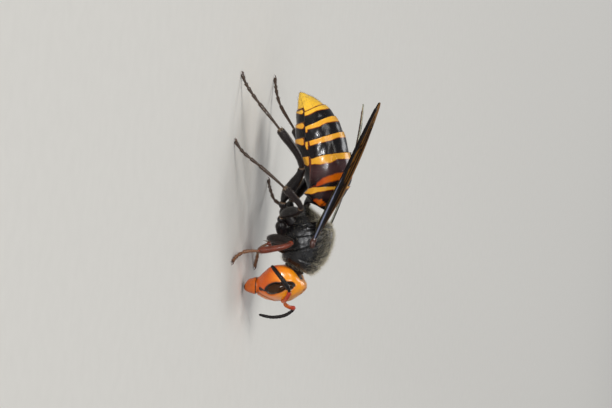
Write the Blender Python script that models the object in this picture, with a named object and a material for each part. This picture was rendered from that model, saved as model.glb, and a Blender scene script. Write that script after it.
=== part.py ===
# A life-size Asian giant hornet, standing head low on six legs with raised, folded wings.
# +X is forward, +Y is the hornet's left side, +Z is up. Sizes are in millimetres until MM turns them
# into metres. Places are measured from the floor point under the mandible tips, then the whole
# model is moved by MODEL_SHIFT so that the origin lies under the middle of its box.
import bpy
import bmesh
import math
import numpy as np
from mathutils import Vector

MM = 0.001
GAP = 0.3
MODEL_SHIFT = Vector((16.44, 0.265, 0.0))

# Head: rows of height, front, back and half width, from the mandible seam up to the crown.
HEAD_ROWS = [
    (3.05, 1.1, -2.7, 2.7),
    (4.0, 1.5, -3.55, 3.65),
    (5.2, 1.75, -4.2, 4.4),
    (6.5, 1.95, -4.6, 4.8),
    (7.8, 1.9, -4.5, 4.85),
    (9.0, 1.5, -4.0, 4.5),
    (10.0, 0.8, -3.2, 3.65),
    (10.75, 0.05, -2.45, 2.4),
]
HEAD_TOP = (-1.2, 11.25)
HEAD_POWER = 2.35
HEAD_SIDES = 40
HEAD_LEVELS = 16
NAPE_DENT = 1.0
NAPE_WIDTH = 2.3
# Swells of the face: place across and up, reach across and up, how far they stand out (or in).
FACE_SWELLS = [
    (0.0, 4.5, 1.9, 1.75, 0.24),
    (0.0, 8.2, 0.5, 1.0, 0.14),
    (1.4, 7.3, 0.6, 0.6, -0.28),
    (-1.4, 7.3, 0.6, 0.6, -0.28),
]
OCELLI = [(0.3, 0.0, 10.32), (-0.45, 0.6, 10.87), (-0.45, -0.6, 10.87)]
OCELLUS_RADIUS = 0.26

# Eye: rows of place along it, forward place, height, half width and half thickness.
EYE_ROWS = [
    (0.0, 0.5, 5.15, 0.1, 0.15),
    (0.07, 0.4, 5.4, 0.55, 0.42),
    (0.3, -0.15, 6.5, 0.93, 0.6),
    (0.55, -0.5, 7.7, 0.72, 0.58),
    (0.72, -0.95, 8.55, 0.48, 0.52),
    (0.86, -0.88, 9.3, 0.62, 0.55),
    (0.96, -0.95, 9.85, 0.42, 0.4),
    (1.0, -0.98, 10.05, 0.1, 0.15),
]
EYE_SINK = 0.3
EYE_STEPS = 12
EYE_SIDES = 12

# Mandible: rows of place along it, centre, half depth (X) and half breadth (Y), seam to tip.
MANDIBLE_ROWS = [
    (0.0, -0.62, 1.75, 2.72, 1.28, 1.15),
    (0.35, -0.52, 1.45, 1.95, 1.18, 1.15),
    (0.7, -0.42, 0.92, 1.1, 0.95, 0.72),
    (0.92, -0.1, 0.58, 0.5, 0.48, 0.38),
    (1.0, 0.0, 0.42, 0.3, 0.2, 0.2),
]
MANDIBLE_SIDES = 14
MANDIBLE_STEPS = 11
TOOTH_STEPS = (5, 7, 9)
TOOTH_NICK = 0.24

# Antennae: the near (right) one is laid back along the head, the far one arches forward.
SCAPE_RADII = [(0.0, 0.26), (0.2, 0.33), (0.8, 0.36), (1.0, 0.3)]
FLAGELLUM_RADII = [(0.0, 0.26), (0.15, 0.32), (0.7, 0.32), (0.93, 0.27), (1.0, 0.14)]
SCAPE_STEPS = 6
FLAGELLUM_JOINTS = 10
FLAGELLUM_NICK = 0.035
ANTENNAE = {
    "r": {
        "scape": [(2.3, -1.45, 7.3), (1.75, -3.3, 8.4), (0.1, -4.8, 9.2)],
        "flagellum": [(0.1, -4.8, 9.2), (-1.3, -6.3, 8.7), (-3.0, -6.4, 7.2), (-4.2, -5.4, 5.9)],
    },
    "l": {
        "scape": [(2.35, 1.4, 7.3), (3.05, 2.6, 8.05), (3.3, 4.0, 8.65)],
        "flagellum": [(3.3, 4.0, 8.65), (4.6, 4.5, 7.1), (5.15, 4.7, 4.8), (4.9, 4.9, 2.3)],
    },
}

# Thorax: rows of place along it, centre (X, Z), half width, half height and backward tilt.
THORAX_ROWS = [
    (0.0, -4.15, 9.25, 2.4, 2.6, -24.5),
    (0.04, -4.45, 9.5, 3.2, 3.0, -24.0),
    (0.09, -5.0, 9.8, 3.8, 3.35, -22.0),
    (0.2, -6.3, 10.3, 4.2, 3.95, -12.0),
    (0.35, -7.9, 10.65, 4.4, 4.4, -4.0),
    (0.5, -9.6, 10.8, 4.4, 4.65, 1.0),
    (0.65, -11.2, 10.75, 4.1, 4.25, 8.0),
    (0.78, -12.15, 10.2, 3.5, 3.0, 15.0),
    (0.89, -13.25, 9.95, 2.7, 2.2, 15.0),
    (0.97, -14.2, 10.0, 1.4, 1.1, 17.0),
    (1.0, -14.8, 10.05, 0.65, 0.55, 22.0),
]
NECK_TIP = (-3.75, 8.6)
THORAX_SIDES = 32
THORAX_STEPS = 30
THORAX_POWER = 2.15
# Grooves over the back and down the sides: place along, half breadth, depth and backward lean.
BACK_GROOVES = [
    (0.15, 0.022, 0.2, 0.0),
    (0.6, 0.02, 0.26, 0.0),
    (0.7, 0.017, 0.22, 0.0),
    (0.77, 0.02, 0.28, 0.0),
]
SIDE_GROOVES = [(0.3, 0.022, 0.22, 0.16), (0.68, 0.022, 0.24, -0.08)]
TEGULA_RADII = (0.85, 0.75, 0.5)

# Gaster: rows of place along it, centre (X, Z), half width, half height and backward tilt.
# The whole numbers are the rear edges of the six segments.
GASTER_ROWS = [
    (0.0, -15.12, 10.15, 0.5, 0.5, 26.0),
    (0.12, -15.5, 10.75, 0.85, 0.9, 0.0),
    (0.28, -15.4, 12.2, 2.5, 2.25, -32.0),
    (0.46, -15.9, 12.57, 3.5, 2.89, -22.0),
    (0.66, -16.85, 12.96, 4.1, 3.41, -6.0),
    (1.0, -18.6, 13.93, 4.65, 4.0, 12.0),
    (1.5, -21.4, 13.55, 4.95, 4.4, 11.0),
    (2.0, -24.1, 12.62, 4.95, 4.62, 9.5),
    (3.0, -27.4, 11.65, 4.55, 4.35, 13.0),
    (4.0, -30.0, 10.8, 3.9, 3.65, 16.0),
    (5.0, -32.1, 9.8, 2.95, 2.62, 17.0),
    (5.6, -33.6, 8.75, 1.7, 1.35, 22.0),
    (6.0, -34.7, 7.72, 0.2, 0.16, 30.0),
]
GASTER_SEGMENTS = 6
GASTER_SIDES = 32
GASTER_STEPS = [8, 7, 6, 5, 5, 6]
GASTER_STEP_IN = 0.14
# Below this height, as a part of the ring, the belly plates are tucked in under the back plates.
BELLY_BELOW = -0.42
BELLY_TUCK = 0.13
GASTER_POWER = 2.1
BAND_START = [0.62, 0.68, 0.6, 0.55, 0.45, 0.0]

# Wings: spread from the body line, rise, roll of the blade, upward bow, and how much of the hind
# wing's breadth shows.
WING_ROOT = (-9.5, 5.0, 12.9)
WING_LENGTH = 26.9
WINGS = {
    "r": {"side": -1, "spread": 18.4, "rise": 22.4, "roll": 17.0, "bow": 0.0, "lobe": 1.0},
    "l": {"side": 1, "spread": 26.5, "rise": 7.1, "roll": 11.0, "bow": 1.15, "lobe": 0.6},
}
# Rows of place along the wing, leading edge and trailing edge across it.
FOREWING_ROWS = [
    (0.0, 0.0, 1.0),
    (0.1, -0.1, 2.0),
    (0.25, -0.15, 3.2),
    (0.45, -0.1, 3.85),
    (0.65, 0.0, 3.75),
    (0.8, 0.25, 3.15),
    (0.9, 0.5, 2.65),
    (0.97, 0.8, 2.1),
    (1.0, 1.0, 1.65),
]
HINDWING_ROWS = [
    (0.06, 0.7, 1.6),
    (0.14, 0.8, 3.8),
    (0.26, 1.0, 5.5),
    (0.38, 1.3, 5.4),
    (0.48, 1.8, 4.7),
    (0.56, 2.3, 4.0),
    (0.6, 2.7, 3.5),
]
# The chordwise places of the vein ridges, each with its half width, as parts of the blade.
FOREWING_VEINS = [(0.06, 0.05, 0.28), (0.24, 0.035, 0.16), (0.48, 0.03, 0.13), (0.72, 0.03, 0.12)]
HINDWING_VEINS = [(0.1, 0.06, 0.14), (0.45, 0.05, 0.12)]
# The cross veins: place along the wing, from one chordwise place to another, and the ridge.
FOREWING_CROSSINGS = [(0.36, 0.48, 0.72), (0.5, 0.24, 0.48), (0.62, 0.06, 0.24), (0.7, 0.24, 0.72)]
CROSSING_HALF = 0.012
CROSSING_HEIGHT = 0.12
# The vein ridges sink into the blade over the last part of the wing, down to a part of their height.
VEIN_FADE = 0.25
VEIN_END = 0.2
WING_THICKNESS = 0.5
HINDWING_DROP = 0.85
FOREWING_STEPS = 12
HINDWING_STEPS = 8

# Legs: the places of the joints from the trochanter out to the claw tip, in order
# coxa tip, trochanter end, knee, tibia end, first tarsal joint, fourth tarsal joint, claw.
LEGS = {
    "fore_r": [(-8.8, -3.2, 5.2), (-8.9, -4.0, 4.8), (-8.3, -7.9, 9.4), (-6.7, -8.5, 4.1),
               (-6.4, -9.2, 1.9), (-5.6, -10.3, 0.75), (-4.6, -11.5, 0.2)],
    "mid_r": [(-11.5, -3.9, 6.7), (-12.8, -4.7, 6.9), (-14.5, -9.4, 11.0), (-17.8, -14.0, 8.7),
              (-21.2, -15.6, 4.5), (-23.4, -16.1, 1.5), (-25.0, -16.4, 0.2)],
    "hind_r": [(-14.5, -3.1, 6.8), (-15.4, -3.7, 6.8), (-21.5, -7.5, 10.3), (-27.7, -12.9, 6.95),
               (-32.5, -14.0, 2.75), (-35.0, -14.4, 0.9), (-36.5, -14.6, 0.2)],
    "fore_l": [(-8.8, 3.2, 5.2), (-8.9, 4.0, 4.8), (-8.5, 7.6, 8.3), (-7.7, 6.6, 2.6),
               (-6.6, 7.0, 1.1), (-4.9, 7.9, 0.6), (-3.5, 8.7, 0.2)],
    "mid_l": [(-11.4, 3.9, 6.2), (-12.3, 4.7, 6.4), (-12.9, 9.3, 10.8), (-14.2, 12.7, 5.4),
              (-15.6, 14.3, 1.9), (-17.4, 15.2, 0.8), (-19.1, 15.8, 0.2)],
    "hind_l": [(-14.5, 3.1, 6.8), (-15.4, 3.7, 6.8), (-21.6, 7.6, 9.7), (-28.5, 11.0, 5.15),
               (-33.0, 13.0, 1.8), (-35.4, 14.0, 0.8), (-37.6, 15.0, 0.2)],
}
# Where each coxa stands on the thorax: place along it and angle below the side, in degrees.
COXA_SEATS = {"fore": (0.24, 52.0), "mid": (0.56, 58.0), "hind": (0.83, 42.0)}
COXA_RADII = [(0.0, 1.05), (0.35, 1.0), (0.7, 0.66), (0.85, 0.6), (1.0, 0.52)]
FEMUR_RADII = [(0.0, 0.5), (0.25, 0.9), (0.55, 0.9), (0.85, 0.62), (1.0, 0.55)]
TIBIA_RADII = [(0.0, 0.45), (0.15, 0.5), (0.6, 0.64), (0.9, 0.66), (1.0, 0.55)]
LEG_SCALE = {"fore": 0.88, "mid": 0.96, "hind": 1.1}
LEG_SIDES = 10
LIMB_STEPS = 8
TIBIA_STEPS = 7
TARSUS_SIDES = 8
TARSUS_STEPS = 20
TARSUS_CUTS = [0.0, 0.5, 0.66, 0.78, 0.86, 1.0]
TARSUS_THIN = 0.25
TARSUS_THICK = 0.34
JOINT_BEVEL = 0.16
JOINT_END = 0.7
CLAW_LENGTH = 0.8
CLAW_RADIUS = 0.17
CLAW_SPREAD = 0.55
CLAW_ARCH = 0.12
CLAW_TIP_HEIGHT = 0.06
SPUR_LENGTH = 1.35
SPUR_RADIUS = 0.16
SPUR_LEAN = 0.45
SPIKE_STEPS = 3
SPIKE_SIDES = 5
SPIKE_TAPER = 0.7
SPURS = {"fore": (0.0,), "mid": (-0.4, 0.4), "hind": (-0.4, 0.4)}

# Smooth curves: how strongly an end direction pulls, and how finely the curve is first measured.
CURVE_PULL = 0.9
CURVE_FINENESS = 20
MERGE_DISTANCE = 1e-7

COLOURS = {
    "head": ((0.83, 0.27, 0.012, 1), 0.3),
    "mandible": ((0.62, 0.12, 0.008, 1), 0.3),
    "eye": ((0.03, 0.01, 0.004, 1), 0.12),
    "scape": ((0.55, 0.1, 0.02, 1), 0.35),
    "flagellum": ((0.01, 0.008, 0.008, 1), 0.45),
    "thorax": ((0.008, 0.007, 0.008, 1), 0.4),
    "gaster": ((0.012, 0.007, 0.006, 1), 0.25),
    "band": ((0.85, 0.4, 0.03, 1), 0.3),
    "wing": ((0.16, 0.06, 0.015, 1), 0.2),
    "leg": ((0.012, 0.009, 0.009, 1), 0.35),
    "fore_leg": ((0.13, 0.035, 0.015, 1), 0.35),
}


def clear_scene():
    for item in list(bpy.data.objects):
        bpy.data.objects.remove(item, do_unlink=True)


def material(kind):
    found = bpy.data.materials.get(kind)
    if found:
        return found
    made = bpy.data.materials.new(kind)
    made.use_nodes = True
    shader = made.node_tree.nodes["Principled BSDF"]
    shader.inputs["Base Color"].default_value = COLOURS[kind][0]
    shader.inputs["Roughness"].default_value = COLOURS[kind][1]
    return made


def row_at(rows, place):
    # The values at a place, read from a smooth curve through the keyed rows.
    table = np.array(rows, float)
    at, values = table[:, 0], table[:, 1:]
    slopes = np.gradient(values, at, axis=0)
    low = min(max(int(np.searchsorted(at, place)) - 1, 0), len(at) - 2)
    span = at[low + 1] - at[low]
    t = min(max((place - at[low]) / span, 0.0), 1.0)
    rise = (3 - 2 * t) * t * t
    start_pull = t * (1 - t) ** 2 * span
    end_pull = t * t * (t - 1) * span
    mixed = values[low] * (1 - rise) + values[low + 1] * rise
    return mixed + slopes[low] * start_pull + slopes[low + 1] * end_pull


def power_part(value, power):
    return math.copysign(abs(value) ** (2.0 / power), value)


def add_node(name, bm, kinds):
    # One closed mesh, in metres, with its faces out, as an object of its own.
    bmesh.ops.recalc_face_normals(bm, faces=bm.faces)
    for vert in bm.verts:
        vert.co = (vert.co + MODEL_SHIFT) * MM
    mesh = bpy.data.meshes.new(name)
    bm.to_mesh(mesh)
    bm.free()
    mesh.shade_smooth()
    node = bpy.data.objects.new(name, mesh)
    bpy.context.scene.collection.objects.link(node)
    for kind in kinds:
        mesh.materials.append(material(kind))
    return node


def loft(bm, rings, tip_start=None, tip_end=None):
    # A closed skin over the rings, each end closed by a fan round its tip, or else its middle.
    loops = [[bm.verts.new(point) for point in ring] for ring in rings]
    faces = []
    for first, second in zip(loops, loops[1:]):
        count = len(first)
        for k in range(count):
            faces.append(bm.faces.new((first[k], first[(k + 1) % count], second[(k + 1) % count], second[k])))
    for loop, tip in ((loops[0], tip_start), (loops[-1], tip_end)):
        middle = tip or sum((vert.co for vert in loop), Vector()) / len(loop)
        pole = bm.verts.new(middle)
        for k in range(len(loop)):
            faces.append(bm.faces.new((loop[k], loop[(k + 1) % len(loop)], pole)))
    return faces


def body_ring(row, sides, power, dip):
    # A ring across the body: half width along Y, half height in a plane that leans back by tilt.
    # The dip gives how far in the ring is pulled at each angle.
    centre_x, centre_z, half_width, half_height, tilt = row
    lean = math.radians(tilt)
    up = Vector((-math.sin(lean), 0, math.cos(lean)))
    ring = []
    for k in range(sides):
        angle = 2 * math.pi * k / sides
        across = power_part(math.cos(angle), power) * (half_width - dip(angle))
        above = power_part(math.sin(angle), power) * (half_height - dip(angle))
        ring.append(Vector((centre_x, across, centre_z)) + up * above)
    return ring


def head_point(height, angle):
    # A point on the head, with the back dented where the neck goes in.
    front, back, half_width = row_at(HEAD_ROWS, height)
    middle, depth = (front + back) / 2, (front - back) / 2
    x = middle + power_part(math.cos(angle), HEAD_POWER) * depth
    y = power_part(math.sin(angle), HEAD_POWER) * half_width
    if math.cos(angle) < 0:
        dent = math.exp(-(y / NAPE_WIDTH) ** 2) * NAPE_DENT * -math.cos(angle)
        x += dent * min(1.0, half_width / 3.0)
    else:
        for place_y, place_z, reach_y, reach_z, stand in FACE_SWELLS:
            away = ((y - place_y) / reach_y) ** 2 + ((height - place_z) / reach_z) ** 2
            x += stand * math.exp(-away ** 2)
    return Vector((x, y, height))


def head_side(x, height, side):
    # The point of the head's side that lies at a forward place and a height.
    front, back, half_width = row_at(HEAD_ROWS, height)
    middle, depth = (front + back) / 2, (front - back) / 2
    part = min(abs(x - middle) / depth, 0.999)
    return Vector((x, side * half_width * (1 - part ** HEAD_POWER) ** (1 / HEAD_POWER), height))


def head_way_out(x, height, side):
    step = 0.05
    along = head_side(x + step, height, side) - head_side(x - step, height, side)
    upward = head_side(x, height + step, side) - head_side(x, height - step, side)
    return (along.cross(upward) * -side).normalized()


def eye_shape(side, grow):
    # A bean that lies in the head's side; grow makes the larger one that cuts its seat.
    bm = bmesh.new()
    rings = []
    places = [(1 - math.cos(math.pi * k / EYE_STEPS)) / 2 for k in range(EYE_STEPS + 1)]
    path = []
    for place in places:
        x, height, _, _ = row_at(EYE_ROWS, place)
        out = head_way_out(x, height, side)
        path.append((head_side(x, height, side) - out * EYE_SINK, out))
    for k, place in enumerate(places):
        _, _, half_width, thickness = row_at(EYE_ROWS, place)
        before, after = path[max(k - 1, 0)][0], path[min(k + 1, EYE_STEPS)][0]
        along = (after - before).normalized()
        centre, out = path[k]
        if k == 0:
            centre = centre - along * grow
        if k == EYE_STEPS:
            centre = centre + along * grow
        across = along.cross(out).normalized()
        ring = []
        for j in range(EYE_SIDES):
            angle = 2 * math.pi * j / EYE_SIDES
            offset = across * math.cos(angle) * (half_width + grow)
            ring.append(centre + offset + out * math.sin(angle) * (thickness + grow))
        rings.append(ring)
    loft(bm, rings)
    return bm


def make_head():
    bm = bmesh.new()
    rings = []
    low, high = HEAD_ROWS[0][0], HEAD_ROWS[-1][0]
    for k in range(HEAD_LEVELS):
        height = low + (high - low) * k / (HEAD_LEVELS - 1)
        ring = [head_point(height, 2 * math.pi * j / HEAD_SIDES) for j in range(HEAD_SIDES)]
        rings.append(ring)
    loft(bm, rings, None, Vector((HEAD_TOP[0], 0, HEAD_TOP[1])))
    head = add_node("head", bm, ["head"])
    for side in (1, -1):
        cutter = add_node("eye_seat", eye_shape(side, GAP), ["head"])
        cut = head.modifiers.new("eye seat", "BOOLEAN")
        cut.operation = "DIFFERENCE"
        cut.solver = "EXACT"
        cut.object = cutter
        apply_modifiers(head)
        bpy.data.objects.remove(cutter, do_unlink=True)
    fuse(head, [ball(place, (OCELLUS_RADIUS,) * 3, 1, "head") for place in OCELLI])
    for side, label in ((1, "l"), (-1, "r")):
        add_node("eye_" + label, eye_shape(side, 0.0), ["eye"])


def ball(centre, radii, finer, kind):
    # A small rounded piece, to be fused to a node.
    bm = bmesh.new()
    bmesh.ops.create_icosphere(bm, subdivisions=finer, radius=1.0)
    for vert in bm.verts:
        vert.co = Vector(part * radius for part, radius in zip(vert.co, radii)) + Vector(centre)
    return add_node("ball", bm, [kind])


def apply_modifiers(node):
    depsgraph = bpy.context.evaluated_depsgraph_get()
    mesh = bpy.data.meshes.new_from_object(node.evaluated_get(depsgraph))
    node.modifiers.clear()
    node.data = mesh
    keep_largest(node)


def keep_largest(node):
    # After a union or a cut only the largest closed surface stays.
    bm = bmesh.new()
    bm.from_mesh(node.data)
    bmesh.ops.remove_doubles(bm, verts=bm.verts, dist=MERGE_DISTANCE)
    unseen = set(bm.verts)
    pieces = []
    while unseen:
        stack = [unseen.pop()]
        piece = list(stack)
        while stack:
            for edge in stack.pop().link_edges:
                for vert in edge.verts:
                    if vert in unseen:
                        unseen.remove(vert)
                        stack.append(vert)
                        piece.append(vert)
        pieces.append(piece)
    pieces.sort(key=len)
    for piece in pieces[:-1]:
        bmesh.ops.delete(bm, geom=piece, context="VERTS")
    bm.to_mesh(node.data)
    bm.free()
    node.data.shade_smooth()


def fuse(node, helpers):
    # One union of a node with the closed pieces that grow from it.
    group = bpy.data.collections.new("pieces")
    bpy.context.scene.collection.children.link(group)
    for helper in helpers:
        bpy.context.scene.collection.objects.unlink(helper)
        group.objects.link(helper)
    union = node.modifiers.new("pieces", "BOOLEAN")
    union.operation = "UNION"
    union.operand_type = "COLLECTION"
    union.solver = "EXACT"
    union.collection = group
    apply_modifiers(node)
    for helper in helpers:
        bpy.data.objects.remove(helper, do_unlink=True)
    bpy.data.collections.remove(group)


def make_mandibles():
    for side, label in ((1, "l"), (-1, "r")):
        bm = bmesh.new()
        rings = []
        for k in range(MANDIBLE_STEPS + 1):
            x, y, height, deep, broad = row_at(MANDIBLE_ROWS, k / MANDIBLE_STEPS)
            nick = TOOTH_NICK if k in TOOTH_STEPS else 0.0
            ring = []
            for j in range(MANDIBLE_SIDES):
                angle = 2 * math.pi * j / MANDIBLE_SIDES
                reach = broad - (nick if math.sin(angle) < -0.5 else 0.0)
                along = x + deep * math.cos(angle)
                across = side * (y + reach * math.sin(angle))
                ring.append(Vector((along, across, height)))
            rings.append(ring)
        loft(bm, rings)
        add_node("mandible_" + label, bm, ["mandible"])


def smooth_path(points, start_way, end_way, count):
    # Evenly spaced places on a smooth curve through the points, with given directions at its ends.
    points = [Vector(point) for point in points]
    lengths = [(b - a).length for a, b in zip(points, points[1:])]
    ways = [start_way.normalized()]
    for k in range(1, len(points) - 1):
        ways.append(((points[k + 1] - points[k]).normalized() + (points[k] - points[k - 1]).normalized()))
        ways[-1].normalize()
    ways.append(end_way.normalized())
    fine = []
    for k, length in enumerate(lengths):
        for step in range(CURVE_FINENESS):
            t = step / CURVE_FINENESS
            fine.append(curve_point(points[k], ways[k], points[k + 1], ways[k + 1], length, t))
    fine.append(points[-1])
    run = [0.0]
    for a, b in zip(fine, fine[1:]):
        run.append(run[-1] + (b - a).length)
    even = []
    for k in range(count + 1):
        goal = run[-1] * k / count
        low = min(max(int(np.searchsorted(run, goal)) - 1, 0), len(run) - 2)
        t = (goal - run[low]) / (run[low + 1] - run[low])
        even.append(fine[low].lerp(fine[low + 1], t))
    return even


def curve_point(start, start_way, end, end_way, length, t):
    rise = (3 - 2 * t) * t * t
    pull = length * CURVE_PULL
    point = start * (1 - rise) + end * rise
    point = point + start_way * (pull * t * (1 - t) ** 2)
    return point + end_way * (pull * t * t * (t - 1))


def tube(bm, path, radii, sides, start_way, end_way, tip_end=None):
    # A round limb along the path, its end faces square to the directions given.
    rings = []
    turn = None
    for k, centre in enumerate(path):
        if k == 0:
            along = start_way.normalized()
        elif k == len(path) - 1:
            along = end_way.normalized()
        else:
            along = (path[k + 1] - path[k - 1]).normalized()
        if turn is None:
            turn = along.orthogonal().normalized()
        else:
            turn = (turn - along * turn.dot(along)).normalized()
        across = along.cross(turn)
        ring = []
        for j in range(sides):
            angle = 2 * math.pi * j / sides
            ring.append(centre + (turn * math.cos(angle) + across * math.sin(angle)) * radii[k])
        rings.append(ring)
    loft(bm, rings, None, tip_end)


def radius_list(rows, count):
    return [float(row_at(rows, k / count)[0]) for k in range(count + 1)]


def make_antennae():
    for label, route in ANTENNAE.items():
        scape = [Vector(point) for point in route["scape"]]
        lash = [Vector(point) for point in route["flagellum"]]
        bend = ((scape[-1] - scape[-2]).normalized() + (lash[1] - lash[0]).normalized()).normalized()
        bm = bmesh.new()
        start_way = scape[1] - scape[0]
        path = smooth_path(scape[:-1] + [scape[-1] - bend * GAP / 2], start_way, bend, SCAPE_STEPS)
        tube(bm, path, radius_list(SCAPE_RADII, SCAPE_STEPS), LEG_SIDES, start_way, bend)
        add_node("scape_" + label, bm, ["scape"])
        steps = FLAGELLUM_JOINTS * 2
        bm = bmesh.new()
        end_way = lash[-1] - lash[-2]
        path = smooth_path([lash[0] + bend * GAP / 2] + lash[1:], bend, end_way, steps)
        radii = radius_list(FLAGELLUM_RADII, steps)
        for k in range(2, steps - 1, 2):
            radii[k] -= FLAGELLUM_NICK
        tube(bm, path, radii, TARSUS_SIDES, bend, end_way)
        add_node("flagellum_" + label, bm, ["flagellum"])


def thorax_dip(place, angle):
    # The grooves between the plates of the back and of the sides.
    depth = 0.0
    for grooves, weight in ((BACK_GROOVES, max(0.0, math.sin(angle)) ** 0.5),
                            (SIDE_GROOVES, abs(math.cos(angle)))):
        for groove, half, deep, lean in grooves:
            middle = groove + lean * math.sin(angle)
            depth += weight * deep * math.exp(-((place - middle) / half) ** 2)
    return depth


def make_thorax():
    bm = bmesh.new()
    rings = []
    for k in range(THORAX_STEPS + 1):
        place = k / THORAX_STEPS
        row = row_at(THORAX_ROWS, place)
        rings.append(body_ring(row, THORAX_SIDES, THORAX_POWER, lambda angle: thorax_dip(place, angle)))
    loft(bm, rings, Vector((NECK_TIP[0], 0, NECK_TIP[1])))
    thorax = add_node("thorax", bm, ["thorax"])
    lobes = []
    for wing in WINGS.values():
        span, chord, _ = wing_axes(wing)
        root = Vector((WING_ROOT[0], wing["side"] * WING_ROOT[1], WING_ROOT[2]))
        middle = root - span * (GAP + TEGULA_RADII[0]) + chord * (TEGULA_RADII[1] / 2)
        lobes.append(ball(middle, TEGULA_RADII, 2, "thorax"))
    fuse(thorax, lobes)


def thorax_seat(place, below, side):
    # The point of the thorax at a place along it and an angle below its side, and the way out.
    row = row_at(THORAX_ROWS, place)
    further = row_at(THORAX_ROWS, place + 0.01)

    def surface(values, degrees):
        angle = math.radians(degrees)
        lean = math.radians(values[4])
        up = Vector((-math.sin(lean), 0, math.cos(lean)))
        across = side * power_part(math.cos(angle), THORAX_POWER) * values[2]
        above = -power_part(math.sin(angle), THORAX_POWER) * values[3]
        return Vector((values[0], across, values[1])) + up * above

    point = surface(row, below)
    along = surface(further, below) - point
    around = surface(row, below + 1.0) - point
    out = along.cross(around).normalized()
    if out.dot(point - Vector((row[0], 0, row[1]))) < 0:
        out = -out
    return point, out


def make_gaster():
    for segment in range(GASTER_SEGMENTS):
        bm = bmesh.new()
        steps = GASTER_STEPS[segment]
        rings = []
        for k in range(steps + 1):
            part = k / steps
            place = segment + part
            step_in = GASTER_STEP_IN * (1 - part)
            if segment == 0 or segment == GASTER_SEGMENTS - 1 and part > 0.5:
                step_in = 0.0
            tuck = BELLY_TUCK if 0.5 < place < GASTER_SEGMENTS - 0.5 else 0.0
            row = row_at(GASTER_ROWS, place)
            rings.append(body_ring(row, GASTER_SIDES, GASTER_POWER,
                                   lambda angle: step_in + (tuck if math.sin(angle) < BELLY_BELOW else 0.0)))
        if segment > 0:
            rings[0] = moved_back(rings[0], GAP)
        faces = loft(bm, rings)
        for index, face in enumerate(faces):
            level = index // GASTER_SIDES
            if level < steps and level / steps >= BAND_START[segment]:
                face.material_index = 1
        add_node("gaster_%d" % (segment + 1), bm, ["gaster", "band"])


def moved_back(ring, distance):
    # The ring moved tailward along its own axis.
    normal = (ring[0] - ring[len(ring) // 2]).cross(ring[len(ring) // 4] - ring[0]).normalized()
    if normal.x > 0:
        normal = -normal
    return [point + normal * distance for point in ring]


def wing_axes(wing):
    spread, rise, roll = (math.radians(wing[key]) for key in ("spread", "rise", "roll"))
    side = wing["side"]
    level = math.cos(rise)
    span = Vector((-level * math.cos(spread), side * level * math.sin(spread), math.sin(rise)))
    chord = Vector((0, -side * math.cos(roll), math.sin(roll)))
    chord = (chord - span * chord.dot(span)).normalized()
    lift = span.cross(chord).normalized()
    if lift.z < 0:
        lift = -lift
    return span, chord, lift


def wing_blade(name, wing, rows, veins, crossings, steps, drop):
    # A thin plate between its leading and trailing edges, with the veins raised in its upper side.
    span, chord, lift = wing_axes(wing)
    root = Vector((WING_ROOT[0], wing["side"] * WING_ROOT[1], WING_ROOT[2]))
    lines = [(0.0, 0.0), (1.0, 0.0)]
    for middle, half, height in veins:
        lines += [(middle - half, 0.0), (middle, height), (middle + half, 0.0)]
    lines = sorted(lines)
    places = [rows[0][0] + (rows[-1][0] - rows[0][0]) * k / steps for k in range(steps + 1)]
    for crossing, _, _ in crossings:
        near = [place for place in places[1:-1] if abs(place - crossing) < 2 * CROSSING_HALF]
        places = [place for place in places if place not in near]
        places += [crossing - CROSSING_HALF, crossing, crossing + CROSSING_HALF]
    places = sorted(places)
    steps = len(places) - 1
    bm = bmesh.new()
    faces_of = {}
    for layer in (0, 1):
        grid = []
        for k, place in enumerate(places):
            lead, trail = row_at(rows, place)
            if drop:
                trail = lead + (trail - lead) * wing["lobe"]
            bow = wing["bow"] * 4 * place * (1 - place)
            fade = min(1.0, (1 - k / steps) / VEIN_FADE + VEIN_END)
            line_verts = []
            for across, raised in lines:
                offset = bow - drop + (0.5 - layer) * WING_THICKNESS
                if layer == 0:
                    offset += raised * fade
                    for crossing, start, end in crossings:
                        if place == crossing and start < across < end:
                            offset += max(0.0, CROSSING_HEIGHT - raised)
                point = root + span * (WING_LENGTH * place) + chord * (lead + (trail - lead) * across)
                line_verts.append(bm.verts.new(point + lift * offset))
            grid.append(line_verts)
        faces_of[layer] = grid
    count = len(lines)
    for layer in (0, 1):
        grid = faces_of[layer]
        for k in range(steps):
            for j in range(count - 1):
                a, b = grid[k][j], grid[k][j + 1]
                c, d = grid[k + 1][j + 1], grid[k + 1][j]
                bm.faces.new((a, b, c))
                bm.faces.new((a, c, d))
    rim = [(k, 0) for k in range(steps)] + [(steps, j) for j in range(count - 1)]
    rim += [(k, count - 1) for k in range(steps, 0, -1)] + [(0, j) for j in range(count - 1, 0, -1)]
    for (k, j), (m, n) in zip(rim, rim[1:] + rim[:1]):
        a, b = faces_of[0][k][j], faces_of[0][m][n]
        c, d = faces_of[1][m][n], faces_of[1][k][j]
        bm.faces.new((a, b, c))
        bm.faces.new((a, c, d))
    add_node(name, bm, ["wing"])


def make_wings():
    for label, wing in WINGS.items():
        wing_blade("forewing_" + label, wing, FOREWING_ROWS, FOREWING_VEINS, FOREWING_CROSSINGS,
                   FOREWING_STEPS, 0.0)
        wing_blade("hindwing_" + label, wing, HINDWING_ROWS, HINDWING_VEINS, [],
                   HINDWING_STEPS, HINDWING_DROP)


def joint_way(before, joint, after):
    # The direction square to the joint's two faces, halfway between the limbs that meet there.
    return ((joint - before).normalized() + (after - joint).normalized()).normalized()


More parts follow.
